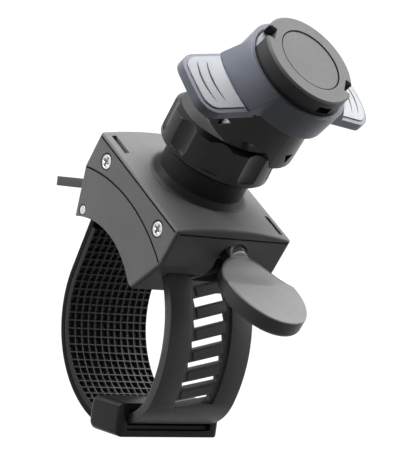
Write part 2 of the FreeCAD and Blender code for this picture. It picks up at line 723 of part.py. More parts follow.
def clamp_collar():
    thread_top = NECK_TOP_Z + LOOSE
    lip = RING_TOP_Z + SEAM
    profile = [
        (NECK_R + RUN, COLLAR_BOTTOM_Z), (COLLAR_R - COLLAR_BEVEL / 2, COLLAR_BOTTOM_Z),
        (COLLAR_R, COLLAR_BOTTOM_Z + COLLAR_BEVEL / 2), (COLLAR_R, COLLAR_TOP_Z - COLLAR_BEVEL),
        (COLLAR_R - COLLAR_BEVEL, COLLAR_TOP_Z), (COLLAR_MOUTH_R, COLLAR_TOP_Z), (COLLAR_LIP_R, lip),
        (RING_R + 2 * RUN, lip), (RING_R + 2 * RUN, thread_top), (NECK_R + RUN, thread_top),
    ]
    collar = revolve(profile)
    start = V(COLLAR_R + SCALLOP_R - SCALLOP_DEPTH, 0, COLLAR_BOTTOM_Z + COLLAR_RIM + SCALLOP_FOOT)
    foot = cylinder(SCALLOP_R, SCALLOP_FOOT, start - V(0, 0, SCALLOP_FOOT))
    foot = foot.common(Part.makeSphere(SCALLOP_R, start))
    scallop = cylinder(SCALLOP_R, COLLAR_TOP_Z - start.z, start).fuse(foot)
    for index in range(COLLAR_SCALLOPS):
        collar = collar.cut(turned(scallop, index * 360 / COLLAR_SCALLOPS))
    return collar


def ball_stud():
    whole = Part.makeSphere(BALL_R).fuse(cylinder(STUD_R, STUD_TOP, V(0, 0, 0))).removeSplitter()
    hole = cylinder(HEAD_SCREW_R + RUN, HEAD_SCREW_BITE + SEAM, V(0, 0, STUD_TOP - HEAD_SCREW_BITE - SEAM))
    return on_head(whole.cut(hole))


def eyelet_gaps():
    """What is cut from the base's skirt to leave the eyelets: arched bays and the eyelets' holes."""
    tools = []
    bay_half = math.pi * BASE_SKIRT_R / EYELETS - EYELET_WIDTH / 2
    bay_r = (bay_half ** 2 + BAY_HEIGHT ** 2) / (2 * BAY_HEIGHT)
    reach = 2 * BASE_SKIRT_R
    for index in range(EYELETS):
        azimuth = EYELET_AZIMUTH_DEG + index * 360 / EYELETS
        hole = [
            V(0, -EYELET_HOLE_HALF, EYELET_HOLE_TOP), V(0, EYELET_HOLE_HALF, EYELET_HOLE_TOP),
            V(0, 0, EYELET_HOLE_TOP - EYELET_HOLE_H),
        ]
        prism = Part.Face(Part.makePolygon(hole + hole[:1])).extrude(V(reach, 0, 0))
        prism.translate(V(BASE_BOSS_R, 0, 0))
        tools.append(turned(prism, azimuth))
        bay = cylinder(bay_r, reach, V(BASE_BOSS_R, 0, BASE_BOTTOM + BAY_HEIGHT - bay_r), X_AXIS)
        tools.append(turned(bay, azimuth + 180 / EYELETS))
    return tools


def head_base():
    profile = [
        (BASE_SKIRT_R - BASE_WALL, BASE_BOTTOM), (BASE_SKIRT_R, BASE_BOTTOM),
        (BASE_R, FLANGE_H), (FLANGE_R, FLANGE_H),
        (FLANGE_R, FLANGE_H + FLANGE_T), (BASE_R, FLANGE_H + FLANGE_T), (BASE_R, HUB_TOP),
        (DISC_HOLLOW_R, HUB_TOP), (DISC_HOLLOW_R, LEDGE_H), (LEDGE_R, LEDGE_H), (LEDGE_R, BASE_FLOOR_TOP),
        (HEAD_SCREW_R + RUN, BASE_FLOOR_TOP), (HEAD_SCREW_R + RUN, STUD_TOP), (STUD_R + RUN, STUD_TOP),
        (STUD_R + RUN, BASE_BOSS_BOTTOM), (BASE_BOSS_R, BASE_BOSS_BOTTOM), (BASE_BOSS_R, BASE_FLOOR),
        (BASE_R - BASE_WALL, BASE_FLOOR),
    ]
    base = revolve(profile)
    for tool in eyelet_gaps():
        base = base.cut(tool)
    return on_head(max(base.Solids, key=lambda solid: solid.Volume))


def head_screw():
    head = cylinder(HEAD_SCREW_HEAD_R, HEAD_SCREW_HEAD_H, V(0, 0, BASE_FLOOR_TOP))
    length = BASE_FLOOR_TOP - STUD_TOP + HEAD_SCREW_BITE
    return on_head(fuse_all([head, cylinder(HEAD_SCREW_R, length, V(0, 0, BASE_FLOOR_TOP - length))]))


def return_spring():
    coil = ring(SPRING_R, SPRING_R + SPRING_WIRE, LEDGE_H, LEDGE_H + SPRING_WIRE)
    gap = math.radians(SPRING_GAP_DEG)
    reach = 2 * SPRING_R
    rise = reach * math.tan(gap / 2)
    corners = [V(0, 0, 0), V(reach, -rise, 0), V(reach, rise, 0), V(0, 0, 0)]
    wedge = Part.Face(Part.makePolygon(corners)).extrude(V(0, 0, DISC_TOP))
    return on_head(coil.cut(wedge))


def wing_outline(half, tip_r, root_r, corner, height):
    """The plan of one wing, along +Y, as a tall prism."""
    block = box(-half, half, root_r, tip_r, 0, height)
    block = block.common(cylinder(tip_r, height, V(0, 0, 0)))
    tips = [
        e for e in block.Edges
        if e.BoundBox.ZLength > height / 2 and e.BoundBox.YMin > (root_r + tip_r) / 2
    ]
    return block.makeFillet(corner, tips)


def wing_slab(offset, thickness):
    """A drooping slab along +Y, rounded across, whose lower face is offset from the wing's top."""
    droop = math.radians(WING_DROOP_DEG)
    ahead = V(0, math.cos(droop), -math.sin(droop))
    up = V(0, math.sin(droop), math.cos(droop))
    start = V(0, RING_SKIRT_R, RING_SKIRT_TOP) - up * WING_CROWN_R - ahead * WING_TIP_R
    inner_r = WING_CROWN_R + offset
    slab = cylinder(inner_r + thickness, 3 * WING_TIP_R, start, ahead)
    return slab.cut(cylinder(inner_r, 3 * WING_TIP_R, start, ahead))


def pad_plan(gap):
    """The plan of one pad, along +Y, as a tall prism, or of its seat in the wing."""
    inset = PAD_INSET - gap
    plan = wing_outline(WING_HALF - inset, WING_TIP_R - inset, WING_ROOT_R, WING_CORNER - inset, DISC_TOP)
    return plan.cut(cylinder(PAD_ROOT_R - gap, DISC_TOP, V(0, 0, 0)))


def crescent(tip):
    """A tall crescent that tapers to both ends, its outermost point at a distance along +Y."""
    sag = PAD_GROOVE_R - math.sqrt(PAD_GROOVE_R ** 2 - PAD_GROOVE_HALF ** 2)
    flat_sag = sag - PAD_GROOVE_WIDTH
    flat_r = (flat_sag ** 2 + PAD_GROOVE_HALF ** 2) / (2 * flat_sag)
    outer = cylinder(PAD_GROOVE_R, DISC_TOP, V(0, tip - PAD_GROOVE_R, 0))
    return outer.cut(cylinder(flat_r, DISC_TOP, V(0, tip - PAD_GROOVE_WIDTH - flat_r, 0)))


def release_ring():
    bore = BASE_R + RUN
    flare = revolve([
        (bore, RING_BOTTOM), (RING_FOOT_R, RING_BOTTOM), (RING_SKIRT_R, RING_SKIRT_TOP - RING_SKIRT_EDGE),
        (RING_SKIRT_R, RING_SKIRT_TOP), (RING_TOP_R, RING_TOP), (bore, RING_TOP),
    ])
    sides = box(-WING_HALF, WING_HALF, -WING_TIP_R, WING_TIP_R, 0, DISC_TOP)
    hub = cylinder(RING_TOP_R, RING_TOP - RING_BOTTOM, V(0, 0, RING_BOTTOM))
    plan = wing_outline(WING_HALF, WING_TIP_R, WING_ROOT_R, WING_CORNER, DISC_TOP)
    wing = plan.common(wing_slab(-WING_T, WING_T))
    wing = wing.cut(pad_plan(SKIN_GAP).common(wing_slab(-PAD_SEAT - SKIN_GAP, WING_T)))
    whole = fuse_all([flare.common(sides), hub, wing, turned(wing, 180)])
    whole = whole.cut(cylinder(bore, DISC_TOP, V(0, 0, 0)))
    shelf = DISC_BOTTOM - LOOSE
    whole = whole.cut(cylinder(DISC_R + LOOSE, DISC_TOP, V(0, 0, shelf)))
    return on_head(turned(whole, WING_SPIN_DEG))


def wing_pad(turn):
    pad = pad_plan(0).common(wing_slab(-PAD_SEAT, PAD_T))
    top_skin = wing_slab(PAD_T - PAD_SEAT - PAD_GROOVE_DEPTH, PAD_T)
    for distance in PAD_GROOVES:
        pad = pad.cut(crescent(WING_TIP_R - PAD_INSET - distance).common(top_skin))
    return on_head(turned(pad, WING_SPIN_DEG + turn))


def radial_block(r0, r1, width, z0, z1, degrees):
    """A block that points outward at an angle about the head's axis."""
    return turned(box(r0, r1, -width / 2, width / 2, z0, z1), degrees)


def lock_disc():
    disc = cylinder(DISC_R, DISC_H, V(0, 0, DISC_BOTTOM))
    rim = [e for e in disc.Edges if len(e.Vertexes) == 1 and e.BoundBox.ZMin > DISC_TOP - DISC_EDGE]
    disc = disc.makeChamfer(DISC_EDGE, rim)
    disc = disc.cut(cylinder(DISC_HOLLOW_R, DISC_H - DISC_ROOF, V(0, 0, DISC_BOTTOM)))
    disc = disc.cut(cylinder(PLATE_R + SEAM, PLATE_RECESS, V(0, 0, DISC_TOP - PLATE_RECESS)))
    roof = DISC_TOP - DISC_ROOF
    for turn in (0, 180):
        azimuth = PAWL_AZIMUTH_DEG + turn
        disc = disc.cut(radial_block(DISC_HOLLOW_R, 2 * DISC_R, NOTCH_WIDTH, DISC_BOTTOM, DISC_TOP, azimuth))
        disc = disc.cut(radial_block(NOTCH_R, DISC_R, NOTCH_WIDTH, DISC_BOTTOM, roof, azimuth))
    sill = DISC_BOTTOM + WINDOW_SILL
    window = radial_block(NOTCH_R, 2 * DISC_R, WINDOW_WIDTH, sill, sill + WINDOW_H, WINDOW_AZIMUTH_DEG)
    return on_head(disc.cut(window))


def centre_plate():
    return on_head(cylinder(PLATE_R, PLATE_T, V(0, 0, DISC_TOP - PLATE_RECESS)))


def magnet():
    top = DISC_TOP - DISC_ROOF
    return on_head(cylinder(MAGNET_R, MAGNET_T, V(0, 0, top - MAGNET_T)))


def lock_pawl(turn):
    """A pawl that slides inward, its nose round like the disc's wall."""
    floor = DISC_BOTTOM + PAWL_INSET
    block = box(PAWL_R, 2 * DISC_R, -NOTCH_WIDTH / 2 + SEAM, NOTCH_WIDTH / 2 - SEAM, floor, floor + PAWL_H)
    block = block.common(cylinder(DISC_R - PAWL_INSET, DISC_TOP, V(0, 0, 0)))
    return on_head(turned(block, PAWL_AZIMUTH_DEG + turn))


NODES = {
    "saddle": saddle,
    "gear_housing": gear_housing,
    "top_cover": top_cover,
    "housing_screws": housing_screws,
    "hinge_pin": hinge_pin,
    "grip_band": grip_band,
    "grip_liner": grip_liner,
    "strap_buckle": strap_buckle,
    "slotted_strap": slotted_strap,
    "worm_screw": worm_screw,
    "worm_bush": worm_bush,
    "thumb_key": thumb_key,
    "ball_seat": ball_seat,
    "pressure_ring": pressure_ring,
    "clamp_collar": clamp_collar,
    "ball_stud": ball_stud,
    "head_base": head_base,
    "head_screw": head_screw,
    "return_spring": return_spring,
    "release_ring": release_ring,
    "wing_pad_front": lambda: wing_pad(180),
    "wing_pad_rear": lambda: wing_pad(0),
    "lock_disc": lock_disc,
    "centre_plate": centre_plate,
    "magnet": magnet,
    "lock_pawl_a": lambda: lock_pawl(0),
    "lock_pawl_b": lambda: lock_pawl(180),
}


def main():
    os.makedirs("parts", exist_ok=True)
    for name, build in NODES.items():
        shape = build()
        valid = shape.isValid()
        print(f"{name}: {len(shape.Solids)} solids, {shape.Volume:.1f} mm3, valid {valid}")
        shape.exportStep(f"parts/{name}.step")


main()
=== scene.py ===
"""Bike phone mount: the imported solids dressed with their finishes, on a pale studio floor."""

import logging
import math
from dataclasses import dataclass, field, replace
from enum import Enum

import bmesh
import bpy
from mathutils import Matrix, Vector


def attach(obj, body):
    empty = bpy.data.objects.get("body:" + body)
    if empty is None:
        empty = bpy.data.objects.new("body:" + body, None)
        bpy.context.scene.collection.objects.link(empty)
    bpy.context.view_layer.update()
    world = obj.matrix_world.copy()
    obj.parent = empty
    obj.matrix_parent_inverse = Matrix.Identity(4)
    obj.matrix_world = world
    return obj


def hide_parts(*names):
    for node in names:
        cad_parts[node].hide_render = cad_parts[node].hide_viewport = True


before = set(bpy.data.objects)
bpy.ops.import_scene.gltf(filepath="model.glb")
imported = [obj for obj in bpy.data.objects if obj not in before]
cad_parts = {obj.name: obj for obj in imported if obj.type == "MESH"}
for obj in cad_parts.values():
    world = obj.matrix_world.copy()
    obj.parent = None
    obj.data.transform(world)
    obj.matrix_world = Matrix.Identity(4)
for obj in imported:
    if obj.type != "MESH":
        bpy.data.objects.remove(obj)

Tree = bpy.types.NodeTree
Node = bpy.types.Node
Socket = bpy.types.NodeSocket
Triple = tuple[float, float, float]

LOG = logging.getLogger("phone_mount")
MM = 0.001
QUARTER_TURN = math.radians(90.0)
WHITE = (1.0, 1.0, 1.0, 1.0)

# The head's axis leaves the ball's centre at this lean, in millimetres and degrees
BALL_Z = 57.2
HEAD_TILT_DEG = 18.5
HEAD_AZIMUTH_DEG = 11.5

# Meshes
SMOOTH_DEG = 32.0    # sharper edges stay sharp
MERGE_MM = 0.002     # doubles in a copied solid
FLAT_DEG = 0.6       # flatter neighbours become one face
BEVEL_STEPS = 3
WELD_M = 1e-6        # doubles in a grown piece
RUNG_CUTS = 5        # points across a rung, so that it can bend
HEAD_CUTS = 40       # sides of a screw's head
BAR_DEPTHS = (2.0, 2.12)    # the cross's two bars, as multiples of its depth
CORD_CUTS = 10       # sides of a cord
ARC_CUTS = 48        # points along the arched split
RING_CUTS = 96       # points along the groove's ring
CORNER_CUTS = 6      # points at a corner of the lid's seam

# Shading
PIT_SHADE_MARK = "pit"
COLOUR_A, COLOUR_B, COLOUR_OUT = 6, 7, 2    # the mix node's colour sockets
EDGE_MM = 0.28
BEVEL_SAMPLES = 6
EDGE_LEAN = (0.02, 0.25)
GRAIN_SCALE = 3200.0
COARSE_SCALE = 0.4      # the coarse grain's scale, as a share of the fine grain's
COARSE_SHARE = 0.5
PATCH_RANGE = (0.3, 0.7)
PATCH_SHARE = 0.45
SPECK_RANGE = (0.35, 0.65)
SPECK_SHARE = 0.55
SMUDGE_RANGE = (0.38, 0.68)
SCRATCH_RANGE = (0.66, 0.74)
SCRATCH_TURN = (0.4, 0.7, 0.3)
SCRATCH_STRETCH = (1.0, 0.06, 1.0)
LINE_SCALE = 900.0
LINE_RANGE = (0.3, 0.7)
LINE_STRETCH = (1.0, 0.04, 1.0)


class Body(Enum):
    """The rigid bodies that new pieces ride on. The solids ride on theirs already."""

    BASE = "base"
    HEAD = "head"


class Slot(Enum):
    """The record's material slots."""

    BODY = "body_plastic"
    SCREW = "screw_steel"
    STRAP = "strap_rubber"
    LINER = "liner_rubber"
    BUCKLE = "buckle_plastic"
    WORM = "worm_steel"
    BUSH = "bush_brass"
    KEY = "key_plastic"
    CUP = "cup_plastic"
    COLLAR = "collar_plastic"
    BALL = "ball_steel"
    SPRING = "spring_steel"
    RING = "ring_plastic"
    PAD = "pad_plastic"
    DISC = "disc_plastic"
    MAGNET = "magnet_metal"


# Nodes that shaders and geometry trees share


def feed(tree: Tree, socket: Socket, value: object) -> None:
    """Feed an input from another node, or set it.

    Args:
        tree: The tree that holds the input.
        socket: The input.
        value: A socket to link, a plain value to set, or None to leave the input as it is.
    """
    if isinstance(value, Socket):
        tree.links.new(value, socket)
    elif value is not None:
        socket.default_value = value


def add_node(tree: Tree, kind: str, **inputs: object) -> Node:
    """Add a node and fill its inputs.

    Args:
        tree: The tree that takes the node.
        kind: The node's type.
        inputs: Sockets to link or values to set, with underscores for blanks in their names.

    Returns:
        The node.
    """
    node = tree.nodes.new(kind)
    for label, value in inputs.items():
        feed(tree, node.inputs[label.replace("_", " ")], value)
    return node


def math_node(tree: Tree, operation: str, first: Socket | float, second: Socket | float | None = None) -> Socket:
    """Add a math node.

    Args:
        tree: The tree that takes the node.
        operation: The operation's name.
        first: A socket or a number.
        second: A socket or a number, where the operation takes two.

    Returns:
        The result's socket.
    """
    node = tree.nodes.new("ShaderNodeMath")
    node.operation = operation
    feed(tree, node.inputs[0], first)
    feed(tree, node.inputs[1], second)
    return node.outputs[0]


def vector_node(tree: Tree, operation: str, first: Socket, second: Socket | Triple | None = None) -> Socket:
    """Add a vector math node.

    Args:
        tree: The tree that takes the node.
        operation: The operation's name.
        first: A vector's socket.
        second: A socket or a vector, where the operation takes two.

    Returns:
        The result's socket, a number for a length or a dot product.
    """
    node = tree.nodes.new("ShaderNodeVectorMath")
    node.operation = operation
    feed(tree, node.inputs[0], first)
    feed(tree, node.inputs[1], second)
    return node.outputs["Value" if operation in ("LENGTH", "DOT_PRODUCT") else "Vector"]


# Shader node groups


def new_group(name: str, inputs: dict[str, float], outputs: list[str]) -> tuple[Tree, Node, Node]:
    """Make an empty shader group with float sockets and a vector input.

    Args:
        name: The group's name.
        inputs: Float input names with their default values.
        outputs: Float output names.

    Returns:
        The tree, its input node and its output node.
    """
    tree = bpy.data.node_groups.new(name, "ShaderNodeTree")
    tree.interface.new_socket("Vector", in_out="INPUT", socket_type="NodeSocketVector")
    for label, value in inputs.items():
        socket = tree.interface.new_socket(label, in_out="INPUT", socket_type="NodeSocketFloat")
        socket.default_value = value
    for label in outputs:
        tree.interface.new_socket(label, in_out="OUTPUT", socket_type="NodeSocketFloat")
    return tree, tree.nodes.new("NodeGroupInput"), tree.nodes.new("NodeGroupOutput")


def noise_node(tree: Tree, vector: Socket, scale: Socket | float, detail: float) -> Socket:
    """Add a noise texture.

    Args:
        tree: The tree that takes the node.
        vector: The coordinates' socket.
        scale: A socket or a number.
        detail: Number of octaves.

    Returns:
        The noise value's socket.
    """
    return add_node(tree, "ShaderNodeTexNoise", Vector=vector, Scale=scale, Detail=detail).outputs[0]


def ramp_node(tree: Tree, value: Socket, low: float, high: float) -> Socket:
    """Stretch a value from low..high to 0..1, held at the ends.

    Args:
        tree: The tree that takes the node.
        value: The value's socket.
        low: The value that gives 0.
        high: The value that gives 1, which may be the lower one.

    Returns:
        The stretched value's socket.
    """
    return add_node(tree, "ShaderNodeMapRange", Value=value, From_Min=low, From_Max=high).outputs[0]


def moulded_grain() -> Tree:
    """Build the eroded grain of moulded plastic: a height, and a tone that changes over the surface.

    Returns:
        The group.
    """
    tree, start, end = new_group("moulded_grain", {"Scale": GRAIN_SCALE, "Patches": 90.0}, ["Height", "Tone"])
    place, scale = start.outputs["Vector"], start.outputs["Scale"]
    fine = noise_node(tree, place, scale, 2.0)
    coarse = noise_node(tree, place, math_node(tree, "MULTIPLY", scale, COARSE_SCALE), 2.0)
    height = math_node(tree, "ADD", math_node(tree, "MULTIPLY", coarse, COARSE_SHARE), fine)
    patches = ramp_node(tree, noise_node(tree, place, start.outputs["Patches"], 3.0), *PATCH_RANGE)
    specks = ramp_node(tree, fine, *SPECK_RANGE)
    broad = math_node(tree, "MULTIPLY", patches, PATCH_SHARE)
    tone = math_node(tree, "ADD", broad, math_node(tree, "MULTIPLY", specks, SPECK_SHARE))
    tree.links.new(height, end.inputs["Height"])
    tree.links.new(tone, end.inputs["Tone"])
    return tree


def handling_wear() -> Tree:
    """Build faint finger marks and fine scratches, as masks.

    Returns:
        The group.
    """
    tree, start, end = new_group(
        "handling_wear", {"Smudge Scale": 55.0, "Scratch Scale": 420.0}, ["Smudge", "Scratch"]
    )
    place = start.outputs["Vector"]
    smudge = noise_node(tree, place, start.outputs["Smudge Scale"], 5.0)
    stretch = add_node(tree, "ShaderNodeMapping", Vector=place, Rotation=SCRATCH_TURN, Scale=SCRATCH_STRETCH)
    scratch = noise_node(tree, stretch.outputs["Vector"], start.outputs["Scratch Scale"], 4.0)
    tree.links.new(ramp_node(tree, smudge, *SMUDGE_RANGE), end.inputs["Smudge"])
    tree.links.new(ramp_node(tree, scratch, *SCRATCH_RANGE), end.inputs["Scratch"])
    return tree


def turned_lines() -> Tree:
    """Build the fine tool lines of turned or drawn metal.

    Returns:
        The group.
    """
    tree, start, end = new_group("turned_lines", {"Scale": LINE_SCALE}, ["Lines"])
    stretch = add_node(tree, "ShaderNodeMapping", Vector=start.outputs["Vector"], Scale=LINE_STRETCH)
    lines = noise_node(tree, stretch.outputs["Vector"], start.outputs["Scale"], 6.0)
    tree.links.new(ramp_node(tree, lines, *LINE_RANGE), end.inputs["Lines"])
    return tree


def broken_edges() -> Tree:
    """Build softly broken moulded edges: a rounded normal, and a mask that is 1 along the edges.

    Returns:
        The group.
    """
    tree, _, end = new_group("broken_edges", {}, ["Edge"])
    tree.interface.new_socket("Normal", in_out="OUTPUT", socket_type="NodeSocketVector")
    bevel = add_node(tree, "ShaderNodeBevel", Radius=EDGE_MM * MM)
    bevel.samples = BEVEL_SAMPLES
    face = tree.nodes.new("ShaderNodeNewGeometry")
    lean = vector_node(tree, "DOT_PRODUCT", bevel.outputs["Normal"], face.outputs["Normal"])
    edge = ramp_node(tree, math_node(tree, "SUBTRACT", 1.0, lean), *EDGE_LEAN)
    tree.links.new(edge, end.inputs["Edge"])
    tree.links.new(bevel.outputs["Normal"], end.inputs["Normal"])
    return tree


@dataclass
class Effects:
    """The shared shader groups, each built once."""

    edges: Tree = field(default_factory=broken_edges)
    grain: Tree = field(default_factory=moulded_grain)
    wear: Tree = field(default_factory=handling_wear)
    lines: Tree = field(default_factory=turned_lines)


# Finishes


def start_material(name: str) -> tuple[bpy.types.Material, Tree, Node, Socket]:
    """Make a material with its shader and object coordinates.

    Args:
        name: The material's name.

    Returns:
        The material, its tree, its shader and the coordinates' socket.
    """
    material = bpy.data.materials.new(name)
    material.use_nodes = True
    tree = material.node_tree
    shader = next(node for node in tree.nodes if node.type == "BSDF_PRINCIPLED")
    place = tree.nodes.new("ShaderNodeTexCoord")
    return material, tree, shader, place.outputs["Object"]


def place_group(tree: Tree, group: Tree, vector: Socket, scale: float | None = None) -> Node:
    """Place a shared group in a material.

    Args:
        tree: The material's tree.
        group: The shared group.
        vector: The coordinates' socket.
        scale: The pattern's own scale, for a group that takes one.

    Returns:
        The group node.
    """
    node = tree.nodes.new("ShaderNodeGroup")
    node.node_tree = group
    tree.links.new(vector, node.inputs["Vector"])
    if scale is not None:
        node.inputs["Scale"].default_value = scale
    return node


def mix_colours(tree: Tree, factor: Socket, first: Socket | Triple, second: Triple) -> Socket:
    """Blend two colours.

    Args:
        tree: The tree that takes the node.
        factor: The second colour's share.
        first: A colour or its socket.
        second: A colour.

    Returns:
        The blended colour's socket.
    """
    node = tree.nodes.new("ShaderNodeMix")
    node.data_type = "RGBA"
    feed(tree, node.inputs["Factor"], factor)
    feed(tree, node.inputs[COLOUR_A], first if isinstance(first, Socket) else (*first, 1.0))
    feed(tree, node.inputs[COLOUR_B], (*second, 1.0))
    return node.outputs[COLOUR_OUT]


def add_bump(tree: Tree, shader: Node, normal: Socket, height: Socket, depth_mm: float, strength: float) -> None:
    """Feed a height on a rounded normal to the shader.

    Args:
        tree: The material's tree.
        shader: The material's shader.
        normal: The rounded normal's socket.
        height: The height's socket.
        depth_mm: The depth that the height stands for.
        strength: The bump's share.
    """
    bump = add_node(
        tree, "ShaderNodeBump", Normal=normal, Strength=strength, Distance=depth_mm * MM, Height=height
    )
    tree.links.new(bump.outputs["Normal"], shader.inputs["Normal"])


@dataclass(frozen=True)
class PaintedPitShade:
    """Painted shade on the faces that a piece's own attribute marks."""

    attribute: str = PIT_SHADE_MARK

    def mask(self, tree: Tree, vector: Socket) -> Socket:
        """Build the mask.

        Args:
            tree: The material's tree.
            vector: The coordinates' socket, which this mask has no need of.

        Returns:
            A socket that is 1 on the marked faces.
        """
        mark = tree.nodes.new("ShaderNodeAttribute")
        mark.attribute_name = self.attribute
        return mark.outputs["Fac"]


@dataclass(frozen=True)
class PaintedCoreShade:
    """Painted shade on what lies within a radius of the upright axis, fading over shares of that radius."""

    radius_mm: float
    fade: tuple[float, float] = (1.07, 0.98)

    def mask(self, tree: Tree, vector: Socket) -> Socket:
        """Build the mask.

        Args:
            tree: The material's tree.
            vector: The coordinates' socket.

        Returns:
            A socket that is 1 near the axis.
        """
        flat = vector_node(tree, "MULTIPLY", vector, (1.0, 1.0, 0.0))
        away = math_node(tree, "DIVIDE", vector_node(tree, "LENGTH", flat), self.radius_mm * MM)
        return ramp_node(tree, away, *self.fade)


@dataclass(frozen=True)
class PaintedWallShade:
    """Painted shade on what lies below a height on the head's axis, fading over shares of that level."""

    height_mm: float
    fade: tuple[float, float] = (1.001, 0.998)

    def mask(self, tree: Tree, vector: Socket) -> Socket:
        """Build the mask.

        Args:
            tree: The material's tree.
            vector: The coordinates' socket.

        Returns:
            A socket that is 1 below the height.
        """
        tilt, azimuth = math.radians(HEAD_TILT_DEG), math.radians(HEAD_AZIMUTH_DEG)
        axis = Vector((math.sin(tilt) * math.cos(azimuth), math.sin(tilt) * math.sin(azimuth), math.cos(tilt)))
        level = (BALL_Z * axis.z + self.height_mm) * MM
        rise = math_node(tree, "DIVIDE", vector_node(tree, "DOT_PRODUCT", vector, axis), level)
        return ramp_node(tree, rise, *self.fade)


@dataclass(frozen=True)
class PaintedRimShade:
    """Painted shade on an oval paddle's edge and underside, with sizes in millimetres.

    The edge is what lies outside a share of the oval and below a share of the top's rounding. The underside
    starts a little below the dish.
    """

    centre_mm: tuple[float, float]
    half_mm: tuple[float, float]
    top_mm: float
    round_mm: float
    dish_mm: float
    oval_fade: tuple[float, float] = (0.93, 0.97)
    round_fade: tuple[float, float] = (0.55, 0.85)
    under_fade_mm: tuple[float, float] = (0.2, 0.4)

    def mask(self, tree: Tree, vector: Socket) -> Socket:
        """Build the mask.

        Args:
            tree: The material's tree.
            vector: The coordinates' socket.

        Returns:
            A socket that is 1 on the edge and below the dish.
        """
        middle = (self.centre_mm[0] * MM, self.centre_mm[1] * MM, 0.0)
        shares = (1.0 / (self.half_mm[0] * MM), 1.0 / (self.half_mm[1] * MM), 0.0)
        oval = vector_node(tree, "MULTIPLY", vector_node(tree, "SUBTRACT", vector, middle), shares)
        outer = ramp_node(tree, vector_node(tree, "LENGTH", oval), *self.oval_fade)
        parts = add_node(tree, "ShaderNodeSeparateXYZ", Vector=vector)
        drop = math_node(tree, "SUBTRACT", self.top_mm * MM, parts.outputs["Z"])
        drop_mm = math_node(tree, "DIVIDE", drop, MM)
        lower = ramp_node(tree, drop_mm, *(share * self.round_mm for share in self.round_fade))
        under = ramp_node(tree, drop_mm, *(self.dish_mm + gap for gap in self.under_fade_mm))
        return math_node(tree, "MAXIMUM", math_node(tree, "MULTIPLY", outer, lower), under)


@dataclass(frozen=True)
class PlasticFinish:
    """Moulded plastic or rubber, with grain, soft patches and finger marks. Its edges are lightened partly as wear
    and partly as a painted highlight, an edge colour paints a further highlight, and a mask paints shade.
    """

    name: str
    colour: Triple
    roughness: float
    specular: float = 0.4
    grain_scale: float = GRAIN_SCALE
    grain_mm: float = 0.03
    grain_strength: float = 0.35
    tone_spread: float = 0.12
    smudge: float = 0.06
    edge_wear_and_highlight: float = 0.6
    coat: float = 0.0
    coat_roughness: float = 0.2
    # A lighter colour along the edges, a painted highlight
    edge_highlight_colour: Triple | None = None
    # A mask of faces that get painted shade, and the shade's colour
    deep: PaintedPitShade | PaintedCoreShade | PaintedWallShade | PaintedRimShade | None = None
    painted_shade_colour: Triple = (0.01, 0.01, 0.01)

    def make(self, effects: Effects) -> bpy.types.Material:
        """Build the material.

        Args:
            effects: The shared shader groups.

        Returns:
            The finished material.
        """
        material, tree, shader, vector = start_material(self.name)
        grain = place_group(tree, effects.grain, vector, self.grain_scale)
        wear = place_group(tree, effects.wear, vector)
        edges = place_group(tree, effects.edges, vector)
        dark = tuple(c * (1.0 - self.tone_spread) for c in self.colour)
        light = tuple(c * (1.0 + self.tone_spread) for c in self.colour)
        # Lighter edges: partly wear, partly a painted highlight
        rubbed_and_highlit = math_node(tree, "MULTIPLY", edges.outputs["Edge"], self.edge_wear_and_highlight)
        tone = math_node(tree, "ADD", grain.outputs["Tone"], rubbed_and_highlit)
        colour = mix_colours(tree, tone, dark, light)
        # Painted shade over the masked faces
        if self.deep:
            colour = mix_colours(tree, self.deep.mask(tree, vector), colour, self.painted_shade_colour)
        # Painted highlight along the edges
        if self.edge_highlight_colour:
            colour = mix_colours(tree, edges.outputs["Edge"], colour, self.edge_highlight_colour)
        tree.links.new(colour, shader.inputs["Base Color"])
        marks = math_node(tree, "MULTIPLY", wear.outputs["Smudge"], self.smudge)
        scratch = math_node(tree, "MULTIPLY", wear.outputs["Scratch"], self.smudge)
        rough = math_node(tree, "ADD", math_node(tree, "SUBTRACT", self.roughness, marks), scratch)
        tree.links.new(rough, shader.inputs["Roughness"])
        shader.inputs["Specular IOR Level"].default_value = self.specular
        shader.inputs["Coat Weight"].default_value = self.coat
        shader.inputs["Coat Roughness"].default_value = self.coat_roughness
        height, rounded = grain.outputs["Height"], edges.outputs["Normal"]
        add_bump(tree, shader, rounded, height, self.grain_mm, self.grain_strength)
        return material


@dataclass(frozen=True)
class MetalFinish:
    """Turned or drawn metal with tool lines."""

    name: str
    colour: Triple
    roughness: float
    line_scale: float = LINE_SCALE
    line_mm: float = 0.01
    line_strength: float = 0.2
    spread: float = 0.08

    def make(self, effects: Effects) -> bpy.types.Material:
        """Build the material.

        Args:
            effects: The shared shader groups.

        Returns:
            The finished material.
        """
        material, tree, shader, vector = start_material(self.name)
        lines = place_group(tree, effects.lines, vector, self.line_scale).outputs["Lines"]
        wear = place_group(tree, effects.wear, vector)
        edges = place_group(tree, effects.edges, vector)
        dark = tuple(c * (1.0 - self.spread) for c in self.colour)
        light = tuple(min(c * (1.0 + self.spread), 1.0) for c in self.colour)
        tree.links.new(mix_colours(tree, lines, dark, light), shader.inputs["Base Color"])
        shader.inputs["Metallic"].default_value = 1.0
        marks = math_node(tree, "MULTIPLY", wear.outputs["Smudge"], self.spread)
        tree.links.new(math_node(tree, "ADD", marks, self.roughness), shader.inputs["Roughness"])
        add_bump(tree, shader, edges.outputs["Normal"], lines, self.line_mm, self.line_strength)
        return material


Finish = PlasticFinish | MetalFinish

